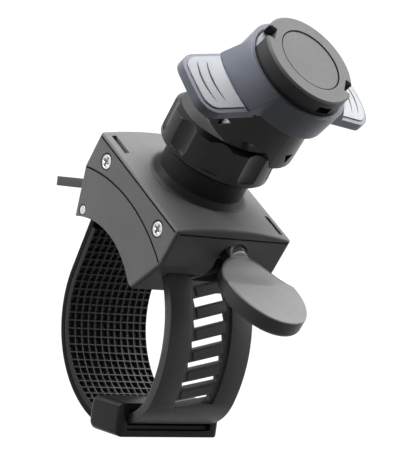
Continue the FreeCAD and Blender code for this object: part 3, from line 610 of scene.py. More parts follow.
FINISHES: dict[Slot, Finish] = {
    Slot.BODY: PlasticFinish("body grain", (0.215, 0.217, 0.22), 0.5, specular=0.14, grain_strength=0.55),
    Slot.SCREW: MetalFinish("bright steel", (0.62, 0.62, 0.61), 0.28),
    Slot.STRAP: PlasticFinish("strap rubber", (0.1, 0.1, 0.102), 0.5, specular=0.2, grain_mm=0.02, smudge=0.1),
    # The liner's pit walls and the pad's sides are darkened as painted shade
    Slot.LINER: PlasticFinish(
        "liner rubber", (0.12, 0.121, 0.123), 0.45, specular=0.2, grain_mm=0.015, deep=PaintedPitShade(),
        painted_shade_colour=(0.014, 0.014, 0.014),
    ),
    Slot.BUCKLE: PlasticFinish("buckle plastic", (0.018, 0.018, 0.019), 0.36, specular=0.14, grain_mm=0.015),
    Slot.WORM: MetalFinish("worm steel", (0.5, 0.5, 0.5), 0.3),
    Slot.BUSH: MetalFinish("bush brass", (0.72, 0.56, 0.26), 0.28),
    # The key's lighter edges are a painted highlight; its dark rim and underside are painted shade
    Slot.KEY: PlasticFinish(
        "key plastic", (0.28, 0.28, 0.283), 0.42, specular=0.25, grain_mm=0.012, grain_strength=0.2, smudge=0.03,
        edge_highlight_colour=(0.36, 0.36, 0.363), painted_shade_colour=(0.05, 0.05, 0.051),
        deep=PaintedRimShade(centre_mm=(38.2, 2.4), half_mm=(14.1, 11.3), top_mm=40.5, round_mm=0.5, dish_mm=1.3),
    ),
    Slot.CUP: PlasticFinish("cup plastic", (0.05, 0.05, 0.052), 0.4),
    # The collar's lighter edges are a painted highlight
    Slot.COLLAR: PlasticFinish(
        "collar black", (0.013, 0.013, 0.014), 0.33, specular=0.2, grain_mm=0.008, coat=0.05,
        edge_highlight_colour=(0.13, 0.13, 0.133),
    ),
    Slot.BALL: MetalFinish("ball alloy", (0.42, 0.42, 0.43), 0.32),
    Slot.SPRING: MetalFinish("spring wire", (0.55, 0.55, 0.54), 0.3),
    # The ring's lighter edges are a painted highlight
    Slot.RING: PlasticFinish(
        "ring slate", (0.21, 0.224, 0.268), 0.4, specular=0.2, grain_mm=0.012, edge_highlight_colour=(0.34, 0.36, 0.41)
    ),
    Slot.PAD: PlasticFinish("pad light grey", (0.46, 0.48, 0.505), 0.45, specular=0.25, grain_mm=0.015),
    Slot.DISC: PlasticFinish("disc grain", (0.185, 0.185, 0.185), 0.5, specular=0.14, grain_strength=0.45),
    Slot.MAGNET: MetalFinish("magnet plate", (0.7, 0.7, 0.7), 0.2),
}

# Finishes of single pieces, in place of their slot's
# The band's lighter edges are a painted highlight
BAND_FINISH = replace(
    FINISHES[Slot.STRAP], name="band black", colour=(0.008, 0.008, 0.0083), specular=0.06,
    edge_highlight_colour=(0.13, 0.13, 0.132),
)
# Dark cords that paint the shade in seams and grooves
SEAM_SHADE_FINISH = replace(
    FINISHES[Slot.LINER], name="painted seam shade", colour=(0.006, 0.006, 0.006), roughness=0.6, specular=0.05, deep=None
)
# The lid's neck is darkened as painted shade under the head
LID_FINISH = replace(FINISHES[Slot.BODY], name="lid grain with painted neck shade", deep=PaintedCoreShade(13.6))
# The disc's side wall is darkened as painted shade
DISC_FINISH = replace(
    FINISHES[Slot.DISC], name="disc grain with painted wall shade", deep=PaintedWallShade(39.3), painted_shade_colour=(0.06, 0.06, 0.061)
)


@dataclass
class Workshop:
    """Makes pieces and gives them their finishes and bodies."""

    effects: Effects = field(default_factory=Effects)
    materials: dict[str, bpy.types.Material] = field(default_factory=dict)

    def finish(self, slot: Slot, special: Finish | None) -> bpy.types.Material:
        """Return a finish's material, built the first time it is asked for.

        Args:
            slot: The slot of the finish.
            special: A finish in place of the slot's, or None.

        Returns:
            The material.
        """
        finish = special or FINISHES[slot]
        if finish.name not in self.materials:
            self.materials[finish.name] = finish.make(self.effects)
        return self.materials[finish.name]

    def dress_node(self, node: str, slot: Slot, special: Finish | None = None) -> None:
        """Give a solid that stays as it is its finish.

        Args:
            node: The solid's name.
            slot: The slot of its finish.
            special: A finish in place of the slot's, or None.
        """
        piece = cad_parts[node]
        piece.data.materials.clear()
        piece.data.materials.append(self.finish(slot, special))
        LOG.info("%s: solid, %s", node, slot.value)

    def soften_node(
        self, node: str, slot: Slot, body: Body, edge_mm: float, special: Finish | None = None
    ) -> None:
        """Replace a solid with a copy whose edges are softly broken.

        Args:
            node: The solid's name.
            slot: The slot of its finish.
            body: The body that it rides on.
            edge_mm: Most width of the broken edges, which small faces hold to less.
            special: A finish in place of the slot's, or None.
        """
        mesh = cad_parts[node].data.copy()
        shell = bmesh.new()
        shell.from_mesh(mesh)
        bmesh.ops.remove_doubles(shell, verts=shell.verts, dist=MERGE_MM * MM)
        bmesh.ops.dissolve_limit(shell, angle_limit=math.radians(FLAT_DEG), verts=shell.verts, edges=shell.edges)
        shell.to_mesh(mesh)
        shell.free()
        # The solid's own normals no longer fit the merged faces
        if "custom_normal" in mesh.attributes:
            mesh.attributes.remove(mesh.attributes["custom_normal"])
        piece = bpy.data.objects.new(f"{node}_piece", mesh)
        bpy.context.scene.collection.objects.link(piece)
        bevel = piece.modifiers.new("edges", "BEVEL")
        bevel.width = edge_mm * MM
        bevel.segments = BEVEL_STEPS
        bevel.limit_method = "ANGLE"
        bevel.angle_limit = math.radians(SMOOTH_DEG)
        bevel.use_clamp_overlap = True
        self.settle(piece, slot, body, special)
        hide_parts(node)

    def grow(
        self, name: str, tree: Tree, slot: Slot, body: Body, values: dict[str, object], special: Finish | None = None
    ) -> bpy.types.Object:
        """Make a piece from a geometry tree.

        Args:
            name: The piece's name.
            tree: The geometry tree.
            slot: The slot of its finish.
            body: The body that it rides on.
            values: Values of the tree's named inputs.
            special: A finish in place of the slot's, or None.

        Returns:
            The new piece.
        """
        piece = bpy.data.objects.new(name, bpy.data.meshes.new(name))
        bpy.context.scene.collection.objects.link(piece)
        nodes = piece.modifiers.new("nodes", "NODES")
        nodes.node_group = tree
        values = {**values, "Material": self.finish(slot, special)}
        for item in tree.interface.items_tree:
            if item.in_out == "INPUT":
                nodes[item.identifier] = values[item.name]
        self.settle(piece, slot, body, special)
        return piece

    def settle(self, piece: bpy.types.Object, slot: Slot, body: Body, special: Finish | None) -> None:
        """Make a piece a plain smooth mesh and put it on its body.

        Args:
            piece: The piece, with any modifiers.
            slot: The slot of its finish.
            body: The body that it rides on.
            special: A finish in place of the slot's, or None.
        """
        graph = bpy.context.evaluated_depsgraph_get()
        mesh = bpy.data.meshes.new_from_object(piece.evaluated_get(graph))
        piece.modifiers.clear()
        piece.data = mesh
        mesh.materials.clear()
        mesh.materials.append(self.finish(slot, special))
        mesh.shade_smooth()
        mesh.set_sharp_from_angle(angle=math.radians(SMOOTH_DEG))
        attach(piece, body.value)
        LOG.info("%s: %d faces on %s", piece.name, len(mesh.polygons), body.value)


# Geometry trees


def numbers(*labels: str) -> dict[str, str]:
    """Return number inputs with these names."""
    return {label: "Float" for label in labels}


ARC_INPUTS = numbers("Centre X", "Centre Z", "Radius", "Side", "Start")


def new_tree(name: str, inputs: dict[str, str]) -> tuple[Tree, Node, Node]:
    """Make an empty geometry tree with a geometry output.

    Args:
        name: The tree's name.
        inputs: Input names with their socket types.

    Returns:
        The tree, its input node and its output node.
    """
    tree = bpy.data.node_groups.new(name, "GeometryNodeTree")
    for label, kind in inputs.items():
        tree.interface.new_socket(label, in_out="INPUT", socket_type=f"NodeSocket{kind}")
    tree.interface.new_socket("Geometry", in_out="OUTPUT", socket_type="NodeSocketGeometry")
    return tree, tree.nodes.new("NodeGroupInput"), tree.nodes.new("NodeGroupOutput")


def end_tree(tree: Tree, start: Node, end: Node, geometry: Socket) -> None:
    """Close a tree: real meshes with the piece's material.

    Args:
        tree: The tree.
        start: Its input node.
        end: Its output node.
        geometry: The finished geometry.
    """
    real = add_node(tree, "GeometryNodeRealizeInstances", Geometry=geometry).outputs["Geometry"]
    dressed = add_node(tree, "GeometryNodeSetMaterial", Geometry=real, Material=start.outputs["Material"])
    tree.links.new(dressed.outputs["Geometry"], end.inputs["Geometry"])


def point(tree: Tree, **axes: Socket) -> Socket:
    """Return a vector made from its named axes."""
    return add_node(tree, "ShaderNodeCombineXYZ", **axes).outputs["Vector"]


def moved(tree: Tree, geometry: Socket, **changes: object) -> Socket:
    """Return geometry with a Translation or a Rotation."""
    return add_node(tree, "GeometryNodeTransform", Geometry=geometry, **changes).outputs["Geometry"]


def joined(tree: Tree, parts: list[Socket]) -> Socket:
    """Join geometry.

    Args:
        tree: The tree that takes the node.
        parts: The geometry to join.

    Returns:
        The joined geometry.
    """
    node = tree.nodes.new("GeometryNodeJoinGeometry")
    for part in parts:
        tree.links.new(part, node.inputs["Geometry"])
    return node.outputs["Geometry"]


def closed(tree: Tree, shell: Socket, foot: Socket) -> Socket:
    """Close an extruded shell with its foot, turned over.

    Args:
        tree: The tree that takes the nodes.
        shell: The shell, open where it was extruded.
        foot: The faces that it was extruded from.

    Returns:
        The closed mesh.
    """
    under = add_node(tree, "GeometryNodeFlipFaces", Mesh=foot).outputs["Mesh"]
    both = joined(tree, [shell, under])
    return add_node(tree, "GeometryNodeMergeByDistance", Geometry=both, Distance=WELD_M).outputs["Geometry"]


def extruded(tree: Tree, mesh: Socket, height: Socket | float, **choice: object) -> dict[str, Socket]:
    """Extrude faces along their normals.

    Args:
        tree: The tree that takes the node.
        mesh: The mesh.
        height: The distance, with its sign.
        choice: The node's other inputs, such as Selection and Individual.

    Returns:
        The sockets Mesh, Top and Side by name.
    """
    node = add_node(tree, "GeometryNodeExtrudeMesh", Mesh=mesh, Offset_Scale=height, **choice)
    return {label: node.outputs[label] for label in ("Mesh", "Top", "Side")}


def shrunk(tree: Tree, geometry: Socket, faces: Socket, share: Socket) -> Socket:
    """Scale faces about their own middles.

    Args:
        tree: The tree that takes the node.
        geometry: The geometry.
        faces: The faces to scale.
        share: Their new size as a share.

    Returns:
        The changed geometry.
    """
    node = add_node(tree, "GeometryNodeScaleElements", Geometry=geometry, Selection=faces, Scale=share)
    return node.outputs["Geometry"]


def cord(tree: Tree, path: Socket, radius: Socket) -> Socket:
    """Sweep a round cord along a path.

    Args:
        tree: The tree that takes the nodes.
        path: The path's curve.
        radius: The cord's radius.

    Returns:
        The cord's mesh.
    """
    section = add_node(tree, "GeometryNodeCurvePrimitiveCircle", Resolution=CORD_CUTS, Radius=radius)
    swept = add_node(
        tree, "GeometryNodeCurveToMesh", Curve=path, Profile_Curve=section.outputs["Curve"], Fill_Caps=True
    )
    return swept.outputs["Mesh"]


def either(tree: Tree, first: Socket, second: Socket) -> Socket:
    """Join two selections.

    Args:
        tree: The tree that takes the node.
        first: A selection.
        second: Another selection.

    Returns:
        A socket that is true where one of them is.
    """
    node = tree.nodes.new("FunctionNodeBooleanMath")
    node.operation = "OR"
    feed(tree, node.inputs[0], first)
    feed(tree, node.inputs[1], second)
    return node.outputs[0]


def bend_on_arc() -> Tree:
    """Build the bend of a flat layout onto an arc of the XZ plane, and onto its straight run-in.

    Y runs along the arc, or along the run-in where it is negative, X across it, and Z away from the arc's
    centre, or towards it where Side is -1.

    Returns:
        The tree.
    """
    tree, start, end = new_tree("bend_on_arc", {"Geometry": "Geometry", **ARC_INPUTS})
    place = add_node(tree, "GeometryNodeInputPosition")
    parts = add_node(tree, "ShaderNodeSeparateXYZ", Vector=place.outputs["Position"]).outputs
    centre_x, centre_z, radius, side, begin = (start.outputs[label] for label in ARC_INPUTS)
    turn = math_node(tree, "DIVIDE", math_node(tree, "MAXIMUM", parts["Y"], 0.0), radius)
    angle = math_node(tree, "ADD", begin, turn)
    reach = math_node(tree, "ADD", radius, math_node(tree, "MULTIPLY", side, parts["Z"]))
    run_in = math_node(tree, "MINIMUM", parts["Y"], 0.0)
    x = math_node(tree, "ADD", centre_x, math_node(tree, "MULTIPLY", reach, math_node(tree, "COSINE", angle)))
    x = math_node(tree, "SUBTRACT", x, math_node(tree, "MULTIPLY", run_in, math_node(tree, "SINE", begin)))
    z = math_node(tree, "ADD", centre_z, math_node(tree, "MULTIPLY", reach, math_node(tree, "SINE", angle)))
    z = math_node(tree, "ADD", z, math_node(tree, "MULTIPLY", run_in, math_node(tree, "COSINE", begin)))
    target = point(tree, X=x, Y=math_node(tree, "MULTIPLY", side, parts["X"]), Z=z)
    laid = add_node(tree, "GeometryNodeSetPosition", Geometry=start.outputs["Geometry"], Position=target)
    tree.links.new(laid.outputs["Geometry"], end.inputs["Geometry"])
    return tree


def bent(tree: Tree, bend: Tree, start: Node, geometry: Socket) -> Socket:
    """Place the bend in a tree that has the same named inputs.

    Args:
        tree: The tree that takes the bend.
        bend: The bend's tree.
        start: The input node of the tree that takes it.
        geometry: The flat layout.

    Returns:
        The bent geometry.
    """
    node = tree.nodes.new("GeometryNodeGroup")
    node.node_tree = bend
    tree.links.new(geometry, node.inputs["Geometry"])
    for label in ARC_INPUTS:
        tree.links.new(start.outputs[label], node.inputs[label])
    return node.outputs["Geometry"]


def waffle_tree(bend: Tree) -> Tree:
    """Build a bent pad with rows of square pits between thin ribs.

    Args:
        bend: The bend's tree.

    Returns:
        The tree.
    """
    tree, start, end = new_tree("waffle_pad", {
        **ARC_INPUTS, "Columns": "Int", "Rows": "Int", "Material": "Material",
        **numbers("Width", "Length", "Run In", "Thickness", "Pit Depth", "Pit Share", "Floor Share"),
    })
    value = start.outputs
    flat = add_node(
        tree, "GeometryNodeMeshGrid", Size_X=value["Width"], Size_Y=value["Length"],
        Vertices_X=math_node(tree, "ADD", value["Columns"], 1), Vertices_Y=math_node(tree, "ADD", value["Rows"], 1),
    )
    middle = math_node(tree, "SUBTRACT", math_node(tree, "MULTIPLY", value["Length"], 0.5), value["Run In"])
    back = moved(tree, flat.outputs["Mesh"], Translation=point(tree, Y=middle))
    pad = extruded(tree, back, value["Thickness"], Individual=False)
    cells = extruded(tree, pad["Mesh"], 0.0, Selection=pad["Top"], Individual=True)
    mouths = shrunk(tree, cells["Mesh"], cells["Top"], value["Pit Share"])
    inwards = math_node(tree, "MULTIPLY", value["Pit Depth"], -1.0)
    pits = extruded(tree, mouths, inwards, Selection=cells["Top"], Individual=True)
    floors = shrunk(tree, pits["Mesh"], pits["Top"], value["Floor Share"])
    # The pits' walls and the pad's sides are marked for painted shade in the finish
    marked = tree.nodes.new("GeometryNodeStoreNamedAttribute")
    marked.data_type = "FLOAT"
    marked.domain = "FACE"
    marked.inputs["Name"].default_value = PIT_SHADE_MARK
    tree.links.new(floors, marked.inputs["Geometry"])
    tree.links.new(either(tree, pits["Side"], pad["Side"]), marked.inputs["Value"])
    whole = closed(tree, marked.outputs["Geometry"], back)
    end_tree(tree, start, end, bent(tree, bend, start, whole))
    return tree


def rung_tree(bend: Tree) -> Tree:
    """Build a row of slanted low rungs with sloped sides, bent onto an arc.

    Args:
        bend: The bend's tree.

    Returns:
        The tree.
    """
    tree, start, end = new_tree("strap_rungs", {
        **ARC_INPUTS, "Count": "Int", "Material": "Material",
        **numbers("Pitch", "Slant", "Rung Width", "Rung Length", "Rung Height", "Top Share"),
    })
    value = start.outputs
    foot = add_node(
        tree, "GeometryNodeMeshGrid", Size_X=value["Rung Width"], Size_Y=value["Rung Length"],
        Vertices_X=RUNG_CUTS, Vertices_Y=2,
    ).outputs["Mesh"]
    raised = extruded(tree, foot, value["Rung Height"], Individual=False)
    rung = closed(tree, shrunk(tree, raised["Mesh"], raised["Top"], value["Top Share"]), foot)
    row = add_node(tree, "GeometryNodeMeshLine", Count=value["Count"], Offset=point(tree, Y=value["Pitch"]))
    placed = add_node(
        tree, "GeometryNodeInstanceOnPoints", Points=row.outputs["Mesh"], Instance=rung,
        Rotation=point(tree, Z=value["Slant"]),
    )
    # Instances are made real here, because the bend moves points
    real = add_node(tree, "GeometryNodeRealizeInstances", Geometry=placed.outputs["Instances"])
    end_tree(tree, start, end, bent(tree, bend, start, real.outputs["Geometry"]))
    return tree


def screw_tree() -> Tree:
    """Build a row of tapered screw heads with a deep cross, facing -Y.

    Returns:
        The tree.
    """
    tree, start, end = new_tree("cross_screws", {
        **numbers("Head Radius", "Rim Radius", "Head Height", "Cross Length", "Cross Width", "Cross Depth"),
        "First": "Vector", "Step": "Vector", "Count": "Int", "Material": "Material",
    })
    value = start.outputs
    head = add_node(
        tree, "GeometryNodeMeshCone", Vertices=HEAD_CUTS, Radius_Top=value["Rim Radius"],
        Radius_Bottom=value["Head Radius"], Depth=value["Head Height"],
    ).outputs["Mesh"]
    lift = point(tree, Z=value["Head Height"])
    # One cut for each bar, at two depths: bars that overlap in one cut leave it open
    for labels, depths in zip((("Cross Length", "Cross Width"), ("Cross Width", "Cross Length")), BAR_DEPTHS):
        deep = math_node(tree, "MULTIPLY", value["Cross Depth"], depths)
        size = point(tree, X=value[labels[0]], Y=value[labels[1]], Z=deep)
        bar = add_node(tree, "GeometryNodeMeshCube", Size=size).outputs["Mesh"]
        cut = tree.nodes.new("GeometryNodeMeshBoolean")
        cut.operation = "DIFFERENCE"
        cut.solver = "EXACT"
        tree.links.new(head, cut.inputs["Mesh 1"])
        tree.links.new(moved(tree, bar, Translation=lift), cut.inputs["Mesh 2"])
        head = cut.outputs["Mesh"]
    row = add_node(
        tree, "GeometryNodeMeshLine", Count=value["Count"], Start_Location=value["First"], Offset=value["Step"]
    )
    placed = add_node(
        tree, "GeometryNodeInstanceOnPoints", Points=row.outputs["Mesh"], Instance=head,
        Rotation=(QUARTER_TURN, 0.0, 0.0),
    )
    end_tree(tree, start, end, placed.outputs["Instances"])
    return tree


def seam_shade_tree() -> Tree:
    """Build dark cords of painted shade: one round the lid's foot, and one along the arched split on each end face.

    Returns:
        The tree.
    """
    tree, start, end = new_tree("seam_shade_cords", {
        **numbers("Half Length", "Half Width", "Corner", "Lid Height", "Lid Cord"),
        **numbers("Arc Radius", "Arc Centre", "Arc From", "Arc Sweep", "Arc Cord", "Arc Half"),
        "Material": "Material",
    })
    value = start.outputs
    loop = add_node(
        tree, "GeometryNodeCurvePrimitiveQuadrilateral", Width=math_node(tree, "MULTIPLY", value["Half Length"], 2.0),
        Height=math_node(tree, "MULTIPLY", value["Half Width"], 2.0),
    )
    rounded = tree.nodes.new("GeometryNodeFilletCurve")
    rounded.mode = "POLY"
    rounded.inputs["Count"].default_value = CORNER_CUTS
    tree.links.new(loop.outputs["Curve"], rounded.inputs["Curve"])
    tree.links.new(value["Corner"], rounded.inputs["Radius"])
    lid = moved(tree, rounded.outputs["Curve"], Translation=point(tree, Z=value["Lid Height"]))
    cords = [cord(tree, lid, value["Lid Cord"])]
    arc = add_node(
        tree, "GeometryNodeCurveArc", Resolution=ARC_CUTS, Radius=value["Arc Radius"], Start_Angle=value["Arc From"],
        Sweep_Angle=value["Arc Sweep"],
    ).outputs["Curve"]
    for side in (-1.0, 1.0):
        place = point(tree, Y=math_node(tree, "MULTIPLY", value["Arc Half"], side), Z=value["Arc Centre"])
        path = moved(tree, arc, Translation=place, Rotation=(QUARTER_TURN, 0.0, 0.0))
        cords.append(cord(tree, path, value["Arc Cord"]))
    end_tree(tree, start, end, joined(tree, cords))
    return tree


def groove_shade_tree() -> Tree:
    """Build a dark cord of painted shade in the groove round the centre plate, on the head's axis.

    Returns:
        The tree.
    """
    tree, start, end = new_tree("groove_shade_cord", {
        **numbers("Ring Radius", "Cord"), "Height": "Vector", "Turn": "Vector", "Foot": "Vector",
        "Material": "Material",
    })
    value = start.outputs
    ring = add_node(tree, "GeometryNodeCurvePrimitiveCircle", Resolution=RING_CUTS, Radius=value["Ring Radius"])
    raised = moved(tree, cord(tree, ring.outputs["Curve"], value["Cord"]), Translation=value["Height"])
    end_tree(tree, start, end, moved(tree, raised, Translation=value["Foot"], Rotation=value["Turn"]))
    return tree


# Sub-assemblies


@dataclass
class ClampBody:
    """The split block that sits on the bar, with its screws, pin, and dark cords of painted shade in its seams, with
    sizes in millimetres.
    """

    shop: Workshop
    half_length: float = 22.2
    half_width: float = 19.6
    corner: float = 1.0
    lid_z: float = 44.2
    lid_cord_r: float = 0.42
    arc_cord_r: float = 0.5
    cord_proud: float = 0.09
    split_r: float = 52.7
    split_peak_z: float = 38.5
    split_half: float = 21.0
    screw_x: float = 14.8
    screw_z: float = 40.3
    screw_head: Triple = (2.2, 1.95, 1.4)
    screw_cross: Triple = (2.9, 0.85, 1.1)

    def build(self) -> None:
        """Dress the block's solids and make its screws and the dark cords of painted seam shade."""
        for node in ("saddle", "gear_housing"):
            self.shop.dress_node(node, Slot.BODY)
        self.shop.dress_node("top_cover", Slot.BODY, LID_FINISH)
        self.shop.dress_node("hinge_pin", Slot.SCREW)
        self.drive_screws()
        self.paint_seam_shade()

    def drive_screws(self) -> None:
        """Make the two cross-head screws in the end face."""
        radius, rim, height = self.screw_head
        length, width, depth = self.screw_cross
        screws = self.shop.grow("cross_screws", screw_tree(), Slot.SCREW, Body.BASE, {
            "Head Radius": radius * MM, "Rim Radius": rim * MM, "Head Height": height * MM,
            "Cross Length": length * MM, "Cross Width": width * MM, "Cross Depth": depth * MM,
            "First": (-self.screw_x * MM, (height - self.half_width) * MM, self.screw_z * MM),
            "Step": (2.0 * self.screw_x * MM, 0.0, 0.0), "Count": 2,
        })
        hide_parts("housing_screws")

    def paint_seam_shade(self) -> None:
        """Lay dark cords of painted shade in the lid's seam and in the arched split."""
        lid_in = self.lid_cord_r - self.cord_proud
        arc_in = self.arc_cord_r - self.cord_proud
        lean = math.asin(self.split_half / self.split_r)
        self.shop.grow("seam_shade_cords", seam_shade_tree(), Slot.LINER, Body.BASE, {
            "Half Length": (self.half_length - lid_in) * MM, "Half Width": (self.half_width - lid_in) * MM,
            "Corner": self.corner * MM, "Lid Height": self.lid_z * MM, "Lid Cord": self.lid_cord_r * MM,
            "Arc Radius": self.split_r * MM, "Arc Centre": (self.split_peak_z - self.split_r) * MM,
            "Arc From": QUARTER_TURN - lean, "Arc Sweep": 2.0 * lean, "Arc Cord": self.arc_cord_r * MM,
            "Arc Half": (self.half_width - arc_in) * MM,
        }, SEAM_SHADE_FINISH)


@dataclass
class StrapLoop:
    """The grip band, its waffle liner, the buckle and the slotted strap, with sizes in millimetres."""

    shop: Workshop
    bend: Tree = field(default_factory=bend_on_arc)
    liner_centre: tuple[float, float] = (15.1, 9.4)
    liner_back_r: float = 27.68
    liner_from_deg: float = 188.4
    liner_to_deg: float = 286.06
    liner_run_in: float = 14.0
    liner_half: float = 13.7
    liner_t: float = 1.48
    pit_pitch: float = 2.35
    pit_depth: float = 1.0
    pit_share: float = 0.85
    floor_share: float = 0.55
    track_centre: tuple[float, float] = (0.0, -1.8)
    track_floor_r: float = 37.5
    rung_from_deg: float = 9.26
    rung_pitch_deg: float = 8.695
    rung_count: int = 7
    rung_slant_deg: float = 13.0
    rung_size: Triple = (10.4, 2.5, 0.25)
    rung_top_share: float = 0.94
    band_edge: float = 0.4
    strap_edge: float = 0.5
    buckle_edge: float = 0.6

    def build(self) -> None:
        """Soften the loop's solids and make its patterned pieces."""
        self.shop.soften_node("grip_band", Slot.STRAP, Body.BASE, self.band_edge, BAND_FINISH)
        self.shop.soften_node("slotted_strap", Slot.STRAP, Body.BASE, self.strap_edge)
        self.shop.soften_node("strap_buckle", Slot.BUCKLE, Body.BASE, self.buckle_edge)
        self.line_band()
        self.lay_rungs()

    def line_band(self) -> None:
        """Make the waffle liner in the plain liner's place."""
        sweep = math.radians(self.liner_to_deg - self.liner_from_deg)
        length = self.liner_run_in + self.liner_back_r * sweep
        liner = self.shop.grow("waffle_liner", waffle_tree(self.bend), Slot.LINER, Body.BASE, {
            "Centre X": self.liner_centre[0] * MM, "Centre Z": self.liner_centre[1] * MM,
            "Radius": self.liner_back_r * MM, "Side": -1.0, "Start": math.radians(self.liner_from_deg),
            "Width": 2.0 * self.liner_half * MM, "Length": length * MM, "Run In": self.liner_run_in * MM,
            "Thickness": self.liner_t * MM, "Pit Depth": self.pit_depth * MM, "Pit Share": self.pit_share,
            "Floor Share": self.floor_share, "Columns": round(2.0 * self.liner_half / self.pit_pitch),
            "Rows": round(length / self.pit_pitch),
        })
        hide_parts("grip_liner")

    def lay_rungs(self) -> None:
        """Lay the low rungs between the strap's slots."""
        width, length, height = self.rung_size
        self.shop.grow("strap_rungs", rung_tree(self.bend), Slot.STRAP, Body.BASE, {
            "Centre X": self.track_centre[0] * MM, "Centre Z": self.track_centre[1] * MM,
            "Radius": self.track_floor_r * MM, "Side": 1.0, "Start": math.radians(self.rung_from_deg),
            "Pitch": self.track_floor_r * math.radians(self.rung_pitch_deg) * MM,
            "Slant": math.radians(self.rung_slant_deg), "Rung Width": width * MM, "Rung Length": length * MM,
            "Rung Height": height * MM, "Top Share": self.rung_top_share, "Count": self.rung_count,
        })


@dataclass
class WormDrive:
    """The worm, its bush and the thumb key."""

    shop: Workshop

    def build(self) -> None:
        """Dress the drive's solids."""
        self.shop.dress_node("worm_screw", Slot.WORM)
        self.shop.dress_node("worm_bush", Slot.BUSH)
        self.shop.dress_node("thumb_key", Slot.KEY)


@dataclass
class BallJoint:
    """The ball in its cup, under the collar."""

    shop: Workshop

    def build(self) -> None:
        """Dress the joint's solids."""
        self.shop.dress_node("ball_seat", Slot.CUP)
        self.shop.dress_node("pressure_ring", Slot.CUP)
        self.shop.dress_node("clamp_collar", Slot.COLLAR)
        self.shop.dress_node("ball_stud", Slot.BALL)


@dataclass
class PhoneHead:
    """The base on the stud, the release ring with its wings, and the lock disc, with sizes in millimetres."""

    shop: Workshop
    plate_r: float = 9.38
    plate_top: float = 39.8
    groove_cord_r: float = 0.25

    def build(self) -> None:
        """Dress the head's solids and lay a dark cord of painted shade in the disc's groove."""
        self.shop.dress_node("lock_disc", Slot.DISC, DISC_FINISH)
        for node, slot in (
            ("head_base", Slot.COLLAR), ("head_screw", Slot.SCREW), ("return_spring", Slot.SPRING),
            ("release_ring", Slot.RING), ("wing_pad_front", Slot.PAD), ("wing_pad_rear", Slot.PAD),
            ("centre_plate", Slot.DISC), ("magnet", Slot.MAGNET),
            ("lock_pawl_a", Slot.PAD), ("lock_pawl_b", Slot.PAD),
        ):
            self.shop.dress_node(node, slot)
        self.paint_groove_shade()

    def paint_groove_shade(self) -> None:
        """Lay the dark cord of painted shade round the centre plate."""
        self.shop.grow("groove_shade_cord", groove_shade_tree(), Slot.LINER, Body.HEAD, {
            "Ring Radius": self.plate_r * MM, "Cord": self.groove_cord_r * MM,
            "Height": (0.0, 0.0, self.plate_top * MM), "Foot": (0.0, 0.0, BALL_Z * MM),
            "Turn": (0.0, math.radians(HEAD_TILT_DEG), math.radians(HEAD_AZIMUTH_DEG)),
        }, SEAM_SHADE_FINISH)


# Studio


@dataclass(frozen=True)
class SoftBox:
    """One studio lamp."""

    name: str
    place_m: Triple
    aim_m: Triple
    size_m: tuple[float, float]
    power_w: float

    def build(self) -> None:
        """Hang the lamp."""
        data = bpy.data.lights.new(self.name, "AREA")
        data.shape = "RECTANGLE"
        data.size, data.size_y = self.size_m
        data.energy = self.power_w
        lamp = bpy.data.objects.new(self.name, data)
        lamp.location = self.place_m
        back = Vector(self.place_m) - Vector(self.aim_m)
        lamp.rotation_euler = back.to_track_quat("Z", "Y").to_euler()
        bpy.context.scene.collection.objects.link(lamp)


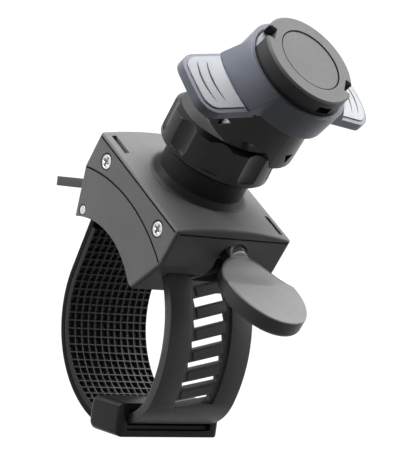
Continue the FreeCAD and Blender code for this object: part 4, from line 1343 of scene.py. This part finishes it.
@dataclass
class Studio:
    """Camera, floor, world and lamps."""

    target_m: Triple = (-0.0030, 0.0162, 0.0282)
    right: Triple = (0.477, 0.765, 0.432)
    back: Triple = (0.632, -0.640, 0.436)
    distance_m: float = 0.6
    view_height_m: float = 0.12944
    sensor_mm: float = 36.0
    clip_start_m: float = 0.01
    floor_z_m: float = -0.09
    floor_half_m: float = 6.0
    floor_tone: float = 0.12
    floor_roughness: float = 0.9
    floor_glow: float = 0.9
    ambient: float = 0.05
    lamps: tuple[SoftBox, ...] = (
        SoftBox("back box", (-0.02, 0.62, 0.34), (0.0, 0.0, 0.05), (0.50, 0.34), 2.8),
        SoftBox("upper left box", (-0.28, 0.16, 0.62), (0.0, 0.0, 0.06), (0.60, 0.60), 6.8),
        SoftBox("left box", (-0.58, -0.58, 0.24), (0.0, 0.0, 0.03), (0.20, 0.45), 4.8),
    )

    def build(self) -> None:
        """Set up the whole studio."""
        self.hang_camera()
        self.lay_floor()
        self.fill_world()
        for lamp in self.lamps:
            lamp.build()
        bpy.context.scene.view_settings.view_transform = "Standard"

    def hang_camera(self) -> None:
        """Place the camera at the photograph's viewing angle."""
        back = Vector(self.back).normalized()
        right = (Vector(self.right) - back * Vector(self.right).dot(back)).normalized()
        up = back.cross(right)
        data = bpy.data.cameras.new("photo camera")
        data.sensor_width = self.sensor_mm
        data.lens = self.sensor_mm * self.distance_m / self.view_height_m
        data.clip_start = self.clip_start_m
        camera = bpy.data.objects.new("photo camera", data)
        turn = Matrix((right, up, back)).transposed().to_4x4()
        camera.matrix_world = Matrix.Translation(Vector(self.target_m) + back * self.distance_m) @ turn
        bpy.context.scene.collection.objects.link(camera)
        bpy.context.scene.camera = camera

    @staticmethod
    def sees_background(tree: Tree) -> Socket:
        """Tell the rays that show the background from those that light the object.

        Args:
            tree: The floor's or the world's tree.

        Returns:
            A socket that is 1 for rays that show the background.
        """
        path = tree.nodes.new("ShaderNodeLightPath")
        seen = math_node(tree, "MAXIMUM", path.outputs["Is Camera Ray"], path.outputs["Is Glossy Ray"])
        return math_node(tree, "MAXIMUM", seen, path.outputs["Is Transmission Ray"])

    def lay_floor(self) -> None:
        """Lay the pale floor, which looks white and keeps the object's shadow."""
        half = self.floor_half_m
        corners = ((-half, -half), (half, -half), (half, half), (-half, half))
        mesh = bpy.data.meshes.new("floor")
        mesh.from_pydata([(x, y, self.floor_z_m) for x, y in corners], [], [(0, 1, 2, 3)])
        floor = bpy.data.objects.new("floor", mesh)
        bpy.context.scene.collection.objects.link(floor)
        material, tree, shader, _ = start_material("floor white")
        shader.inputs["Base Color"].default_value = (self.floor_tone, self.floor_tone, self.floor_tone, 1.0)
        shader.inputs["Roughness"].default_value = self.floor_roughness
        shader.inputs["Specular IOR Level"].default_value = 0.0
        shader.inputs["Emission Color"].default_value = WHITE
        glow = math_node(tree, "MULTIPLY", self.sees_background(tree), self.floor_glow)
        tree.links.new(glow, shader.inputs["Emission Strength"])
        mesh.materials.append(material)

    def fill_world(self) -> None:
        """Fill the world with soft light that shows as white behind the object."""
        world = bpy.data.worlds.new("studio")
        bpy.context.scene.world = world
        world.use_nodes = True
        tree = world.node_tree
        glow = next(node for node in tree.nodes if node.type == "BACKGROUND")
        glow.inputs["Color"].default_value = WHITE
        strength = math_node(tree, "MULTIPLY", self.sees_background(tree), 1.0 - self.ambient)
        tree.links.new(math_node(tree, "ADD", strength, self.ambient), glow.inputs["Strength"])


def main() -> None:
    """Build every sub-assembly in order, then the studio."""
    logging.basicConfig(level=logging.INFO, format="%(message)s")
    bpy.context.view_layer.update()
    shop = Workshop()
    for assembly in (ClampBody(shop), StrapLoop(shop), WormDrive(shop), BallJoint(shop), PhoneHead(shop)):
        assembly.build()
    Studio().build()


if __name__ == "__main__":
    main()
